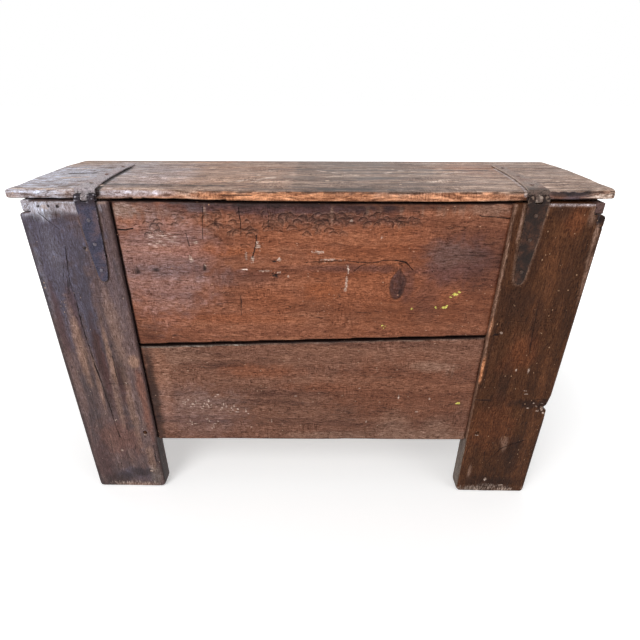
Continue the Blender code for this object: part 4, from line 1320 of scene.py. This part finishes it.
def make_lid_board(node, voxel, seed, straps=()):
    """A board of the lid, with its near edge and the painted shadow and highlight beside its straps where it
    has them.
    """
    finer = [(edge_or_strap, 1)] if straps else []
    piece, skin = worn_timber(node, "X", voxel, seed, LID_ARRIS_LOSS, finer)
    skin.paint("inside", 0.8 * ease(-skin.normal[:, 2], 0.5, 0.8))
    lay_zones(skin, in_mm(skin.at, LID_PLANE), UPWARD, LID_ZONES, seed)
    if straps:
        flat = in_mm(skin.at, BACK_PLANE)
        lay_zones(skin, flat, BACKWARD, LID_EDGE_ZONES, seed + 5)
        cut_cracks(skin, flat, LID_SPLITS, seed + 20)
        scratch(skin, in_mm(skin.at, LID_PLANE), LID_SCRATCHES, seed + 7)
        for strap, *line in LID_STRAP_LINES:
            line_beside(skin, straps[strap], *line)
        shape_lid_edge(skin, seed + 30)
    shade_lid_middle(skin, seed + 40)
    hand_over(piece, skin, oak("lid", "X", seed), "lid", "lid_board", node)


# How strong the painted shade is on each strap round its knuckle, and how far from the pin that reaches
STRAP_SHADE = {"upper_left": (0.5, 24 * MM), "upper_right": (0.80, 40 * MM)}
LOWER_STRAP_SHADE = (0.95, 24 * MM)
STRAP_VOXEL = 1.2 * MM


def make_strap(name, body, seed):
    """A hammered strap, a little uneven, true only round the pin, with painted shade and painted glints round
    its knuckle.
    """
    piece = remade("iron_strap_" + name, "strap_" + name, STRAP_VOXEL)
    skin = Skin(piece)
    skin.paint("wear", skin.arrises(2))
    away = np.hypot(skin.at[:, 1] - HINGE_Y, skin.at[:, 2] - HINGE_Z)
    dents = 0.30 * rough(skin.at, 0.012, seed) + 0.12 * rough(skin.at, 0.004, seed + 1) - 0.25
    skin.push(ease(away, 9 * MM, 14 * MM) * dents * MM)
    glints = ease(rough(skin.at, 0.004, seed + 3), 0.1, 0.5)
    # Painted shade round the knuckle
    dark, reach = STRAP_SHADE.get(name, LOWER_STRAP_SHADE)
    skin.paint("umber", dark * ease(away, reach, reach - 14 * MM))
    # Painted glints round the knuckle, stronger on the left hinge
    on_left_hinge = ease(skin.at[:, 0] / HINGE_X, -0.97, -1.0)
    skin.paint("chalk", 0.75 * glints * ease(away, 16 * MM, 9 * MM) * on_left_hinge)
    skin.paint("chalk", 0.55 * glints * ease(away, 13 * MM, 8 * MM))
    # A painted highlight on the right upper strap's side that faces the light
    if name == "upper_right":
        skin.paint("chalk", skin.looking((-0.8, -0.6, 0.0), 0.35, 0.7) * ease(away, 14 * MM, 24 * MM))
    hand_over(piece, skin, iron(name, seed), body, "strap", "strap_" + name)
    return skin.at


# Nails and pegs, by Geometry Nodes
class Tree(Wiring):
    """A Geometry Nodes tree with named inputs."""

    def __init__(self, name, inputs):
        group = bpy.data.node_groups.new(name, "GeometryNodeTree")
        super().__init__(group)
        group.interface.new_socket("Geometry", in_out="INPUT", socket_type="NodeSocketGeometry")
        group.interface.new_socket("Geometry", in_out="OUTPUT", socket_type="NodeSocketGeometry")
        self.sockets = {}
        for label, kind in inputs.items():
            made = group.interface.new_socket(label, in_out="INPUT", socket_type="NodeSocket" + kind)
            self.sockets[label] = made.identifier
        self.given = self.node("NodeGroupInput").outputs
        self.end = self.node("NodeGroupOutput").inputs["Geometry"]

    def join(self, *shapes):
        made = self.node("GeometryNodeJoinGeometry")
        for shape in shapes:
            self.tree.links.new(shape, made.inputs[0])
        return made.outputs[0]

    def shape(self, kind, shape, **inputs):
        """A node that works on a shape."""
        return self.node(kind, {"Geometry": shape, **inputs}).outputs[0]

    def triple(self, x, y, z):
        return self.node("ShaderNodeCombineXYZ", {"X": x, "Y": y, "Z": z}).outputs[0]


FASTENER_INPUTS = {
    "Head radius": "Float", "Head rise": "Float", "Shank radius": "Float", "Shank length": "Float",
    "Unevenness": "Float", "Seed": "Int", "Material": "Material",
}


# Level of a head's flat underside as a share of its rise, size of its dents as a noise scale, and the
# largest lean and turn of a fastener in radians
HEAD_UNDERSIDE = -0.12
DENT_SCALE = 260.0
LARGEST_TURN = (0.06, 0.06, 3.1)


def forged_head(t, segments, rings):
    """A ball flattened below, stretched to the head's radius and rise."""
    ball = t.node("GeometryNodeMeshUVSphere", {"Segments": segments, "Rings": rings, "Radius": 1.0})
    spot = t.node("ShaderNodeSeparateXYZ", {0: t.node("GeometryNodeInputPosition").outputs[0]}).outputs
    level = t.triple(spot["X"], spot["Y"], t.math("MAXIMUM", spot["Z"], HEAD_UNDERSIDE))
    flat = t.shape("GeometryNodeSetPosition", ball.outputs["Mesh"], Position=level)
    size = t.triple(t.given["Head radius"], t.given["Head radius"], t.given["Head rise"])
    return t.shape("GeometryNodeTransform", flat, Scale=size)


def round_shank(t):
    """A rod that hangs from the point."""
    sizes = {"Vertices": 10, "Radius": t.given["Shank radius"], "Depth": t.given["Shank length"]}
    rod = t.node("GeometryNodeMeshCylinder", sizes)
    drop = t.triple(0.0, 0.0, t.math("MULTIPLY", t.given["Shank length"], -0.5))
    return t.shape("GeometryNodeTransform", rod.outputs["Mesh"], Translation=drop)


def own_turn(t):
    """Faces the point's outward way, with a small lean and any turn about it."""
    lean = {0: [-angle for angle in LARGEST_TURN], 1: LARGEST_TURN, "Seed": t.given["Seed"]}
    drawn = t.node("FunctionNodeRandomValue", lean, data_type="FLOAT_VECTOR").outputs[0]
    own = t.node("FunctionNodeEulerToRotation", {0: drawn}).outputs[0]
    outward = t.node("GeometryNodeInputNamedAttribute", {"Name": "outward"}, data_type="FLOAT_VECTOR")
    facing = t.node("FunctionNodeAlignRotationToVector", {"Vector": outward.outputs[0]}, axis="Z").outputs[0]
    return t.node("FunctionNodeRotateRotation", {0: facing, 1: own}, rotation_space="LOCAL").outputs[0]


def dent_shifts(t):
    """Small shifts of a hammered surface."""
    at = t.node("GeometryNodeInputPosition").outputs[0]
    blows = t.node("ShaderNodeTexNoise", {"Vector": at, "Scale": DENT_SCALE, "Detail": 1.0}).outputs["Color"]
    centred = t.vector("SUBTRACT", blows, (0.5, 0.5, 0.5))
    scale = {0: centred, "Scale": t.given["Unevenness"]}
    return t.node("ShaderNodeVectorMath", scale, operation="SCALE").outputs[0]


def fastener_tree(name, head_segments, head_rings):
    """A forged head on a round shank at every point, each turned and dented in its own way."""
    t = Tree(name, FASTENER_INPUTS)
    fastener = t.join(forged_head(t, head_segments, head_rings), round_shank(t))
    spread = {"Points": t.given["Geometry"], "Instance": fastener, "Rotation": own_turn(t)}
    placed = t.node("GeometryNodeInstanceOnPoints", spread).outputs[0]
    real = t.shape("GeometryNodeRealizeInstances", placed)
    dented = t.shape("GeometryNodeSetPosition", real, Offset=dent_shifts(t))
    smooth = t.shape("GeometryNodeSetShadeSmooth", dented)
    t.feed(t.end, t.shape("GeometryNodeSetMaterial", smooth, Material=t.given["Material"]))
    return t


def make_fasteners(name, tree, seats, sizes, material, body):
    """One mesh for all the fasteners of a kind on a body. Seats gives each node its place and outward way."""
    mesh = bpy.data.meshes.new(name)
    mesh.from_pydata([seat for seat, _ in seats.values()], [], [])
    directions = [c for _, outward in seats.values() for c in outward]
    mesh.attributes.new("outward", "FLOAT_VECTOR", "POINT").data.foreach_set("vector", directions)
    piece = add_object(name, mesh)
    driven = piece.modifiers.new("fasteners", "NODES")
    driven.node_group = tree.tree
    for label, value in dict(sizes, Material=material).items():
        driven[tree.sockets[label]] = value
    settle(piece)
    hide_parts(*seats)
    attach(piece, body)


NAIL_HEAD_RISE = 2.4 * MM
NAIL_SIZES = {
    "Head radius": 4.6 * MM, "Head rise": NAIL_HEAD_RISE, "Shank radius": 1.8 * MM, "Shank length": 18 * MM,
    "Unevenness": 1.3 * MM, "Seed": 7,
}
PEG_RISE = 0.8 * MM
PEG_SIZES = {
    "Head radius": 4.3 * MM, "Head rise": PEG_RISE, "Shank radius": 4.3 * MM, "Shank length": 43 * MM,
    "Unevenness": 0.5 * MM, "Seed": 3,
}


def head_seat(node, outward, rise):
    """Where a fastener's head meets what it holds, and the way it faces."""
    low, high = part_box(node)
    seat = (low + high) / 2
    axis = [abs(c) for c in outward].index(1.0)
    seat[axis] = high[axis] - rise if outward[axis] > 0 else low[axis] + rise
    return seat, outward


def make_nails_and_pegs():
    """The nails by level, because the upper ones ride on the lid, and all the pegs."""
    nail_tree = fastener_tree("forged nails", 14, 9)
    kinds = (("lower", BACKWARD, "chest", iron("nail", 5)), ("upper", UPWARD, "lid", iron("lid_nail", 6)))
    for level, outward, body, material in kinds:
        nodes = [f"nail_{level}_{hand}_{number}" for hand in HANDS for number in (1, 2, 3)]
        seats = {node: head_seat(node, outward, NAIL_HEAD_RISE) for node in nodes}
        make_fasteners(f"nails_{level}", nail_tree, seats, NAIL_SIZES, material, body)
    peg_tree = fastener_tree("oak pegs", 12, 6)
    seats = {}
    for (side, outward), hand in itertools.product((("back", BACKWARD), ("front", (0.0, 1.0, 0.0))), HANDS):
        node = f"peg_{side}_{hand}"
        seats[node] = head_seat(node, outward, PEG_RISE)
    make_fasteners("pegs", peg_tree, seats, PEG_SIZES, oak("right_stile", "Y", 31), "chest")


def make_pins():
    """The pins keep their own true mesh, because the knuckles turn on them."""
    pin_iron = iron("pin", 9)
    for hand in HANDS:
        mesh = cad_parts[f"hinge_pin_{hand}"].data
        mesh.materials.clear()
        mesh.materials.append(pin_iron)


# Node, slot, grain, finish, voxel in millimetres, seed
CHEST_TIMBERS = (
    ("stile_back_left", "stile", "Z", "left_stile", 3.6, 1),
    ("stile_back_right", "stile", "Z", "right_stile", 3.6, 2),
    ("stile_front_left", "stile", "Z", "right_stile", 4.4, 3),
    ("stile_front_right", "stile", "Z", "right_stile", 4.4, 4),
    ("board_back_upper", "long_board", "X", "board", 4.8, 5),
    ("board_back_lower", "long_board", "X", "lower_board", 4.4, 6),
    ("board_front_upper", "long_board", "X", "board", 4.8, 7),
    ("board_front_lower", "long_board", "X", "lower_board", 4.8, 8),
    ("end_left_upper", "end_board", "Y", "end", 4.4, 9),
    ("end_left_lower", "end_board", "Y", "end", 4.4, 10),
    ("end_right_upper", "end_board", "Y", "end", 4.4, 11),
    ("end_right_lower", "end_board", "Y", "end", 4.4, 12),
    ("floor_back", "floor_plank", "X", "floor", 5.2, 13),
    ("floor_middle", "floor_plank", "X", "floor", 5.2, 14),
    ("floor_front", "floor_plank", "X", "floor", 5.2, 15),
)


def make_chest():
    lower_straps, upper_straps = {}, []
    for hand, seed in (("left", 20), ("right", 21)):
        lower_straps["stile_back_" + hand] = make_strap("lower_" + hand, "chest", seed)
        upper_straps.append(make_strap("upper_" + hand, "lid", seed + 2))
    for node, slot, grain, finish, voxel, seed in CHEST_TIMBERS:
        make_timber(node, "chest", slot, grain, finish, voxel * MM, seed, lower_straps.get(node))
    make_lid_board("lid_board_back", 4.0 * MM, 16, upper_straps)
    make_lid_board("lid_board_front", 4.4 * MM, 17)
    for hand, seed in (("left", 18), ("right", 19)):
        make_timber("lid_cleat_" + hand, "lid", "cleat", "Y", "cleat", 2.6 * MM, seed)
    make_nails_and_pegs()
    make_pins()


# Floor, lights and camera
FLOOR_SIZE = 40.0
FLOOR_WHITE = (0.86, 0.86, 0.86, 1.0)
PLAIN_WHITE = (1.0, 1.0, 1.0, 1.0)
# How much the floor glows near the chest and far from it, and where one passes into the other
FLOOR_LIFT = 0.38
FAR_LIFT = 1.0
LIFT_STARTS, LIFT_ENDS = 0.9, 2.2
# How strongly the world lights the chest from all round
WORLD_STRENGTH = 0.5


def seen_directly(w):
    """1 for the camera and for what shows in a reflection or through glass."""
    rays = w.node("ShaderNodeLightPath").outputs
    seen = w.math("MAXIMUM", rays["Is Camera Ray"], rays["Is Glossy Ray"])
    return w.math("MAXIMUM", seen, rays["Is Transmission Ray"])


def make_floor():
    """A white floor that keeps the chest's shadow."""
    reach = FLOOR_SIZE / 2
    mesh = bpy.data.meshes.new("studio_floor")
    corners = [(-reach, -reach, 0.0), (reach, -reach, 0.0), (reach, reach, 0.0), (-reach, reach, 0.0)]
    mesh.from_pydata(corners, [], [(0, 1, 2, 3)])
    floor = add_object("studio_floor", mesh)
    material, w, surface = new_material("studio_white")
    surface.inputs["Base Color"].default_value = FLOOR_WHITE
    surface.inputs["Roughness"].default_value = 1.0
    surface.inputs["Specular IOR Level"].default_value = 0.0
    away = w.node("ShaderNodeVectorMath", {0: w.own_place()}, operation="LENGTH").outputs["Value"]
    far = w.ease(away, LIFT_STARTS, LIFT_ENDS)
    lift = w.math("MULTIPLY_ADD", far, FAR_LIFT - FLOOR_LIFT, FLOOR_LIFT)
    strength = w.math("MULTIPLY", seen_directly(w), lift)
    glow = w.node("ShaderNodeEmission", {"Strength": strength}).outputs["Emission"]
    both = w.node("ShaderNodeAddShader", {0: surface.outputs["BSDF"], 1: glow}).outputs["Shader"]
    w.feed(material.node_tree.nodes["Material Output"].inputs["Surface"], both)
    mesh.materials.append(material)


def make_world():
    """Even light from all round, and plain white where the camera or a reflection looks past the floor."""
    world = bpy.data.worlds.new("studio")
    world.use_nodes = True
    bpy.context.scene.world = world
    w = Wiring(world.node_tree)
    sky = world.node_tree.nodes["Background"]
    sky.inputs["Color"].default_value = PLAIN_WHITE
    strength = w.math("MULTIPLY_ADD", seen_directly(w), 1.0 - WORLD_STRENGTH, WORLD_STRENGTH)
    w.feed(sky.inputs["Strength"], strength)


# Name, place, aim, size and power of each soft lamp
LAMPS = (
    ("key", (-1.7, -2.9, 3.1), (0.0, 0.0, 0.5), 2.2, 84.0),
    ("fill", (2.6, -2.2, 1.6), (0.0, 0.0, 0.4), 2.4, 22.0),
    ("rear", (0.8, 3.0, 2.8), (0.0, 0.0, 0.5), 2.4, 10.0),
)


def make_lamps():
    for name, stand, aim, size, power in LAMPS:
        light = bpy.data.lights.new(name, "AREA")
        light.shape = "DISK"
        light.size = size
        light.energy = power
        lamp = add_object(name, light)
        lamp.location = stand
        lamp.rotation_euler = (Vector(aim) - Vector(stand)).to_track_quat("-Z", "Y").to_euler()


def make_camera():
    eye = bpy.data.cameras.new("photo_camera")
    eye.sensor_width = SENSOR_WIDTH_MM
    eye.lens = FOCAL_PX / PHOTO_WIDTH_PX * SENSOR_WIDTH_MM
    eye.shift_x = (PHOTO_WIDTH_PX / 2 - CENTRE_X_PX) / PHOTO_WIDTH_PX
    eye.shift_y = (CENTRE_Y_PX - PHOTO_WIDTH_PX / 2) / PHOTO_WIDTH_PX
    eye.clip_start = 0.05
    eye.clip_end = 100.0
    camera = add_object("photo_camera", eye)
    camera.location = CAMERA_PLACE
    camera.rotation_euler = (math.radians(90 - CAMERA_DOWN_DEG), 0.0, math.radians(CAMERA_TURN_DEG))
    bpy.context.scene.camera = camera


make_camera()
make_chest()
make_floor()
make_world()
make_lamps()
bpy.context.scene.view_settings.view_transform = "Standard"
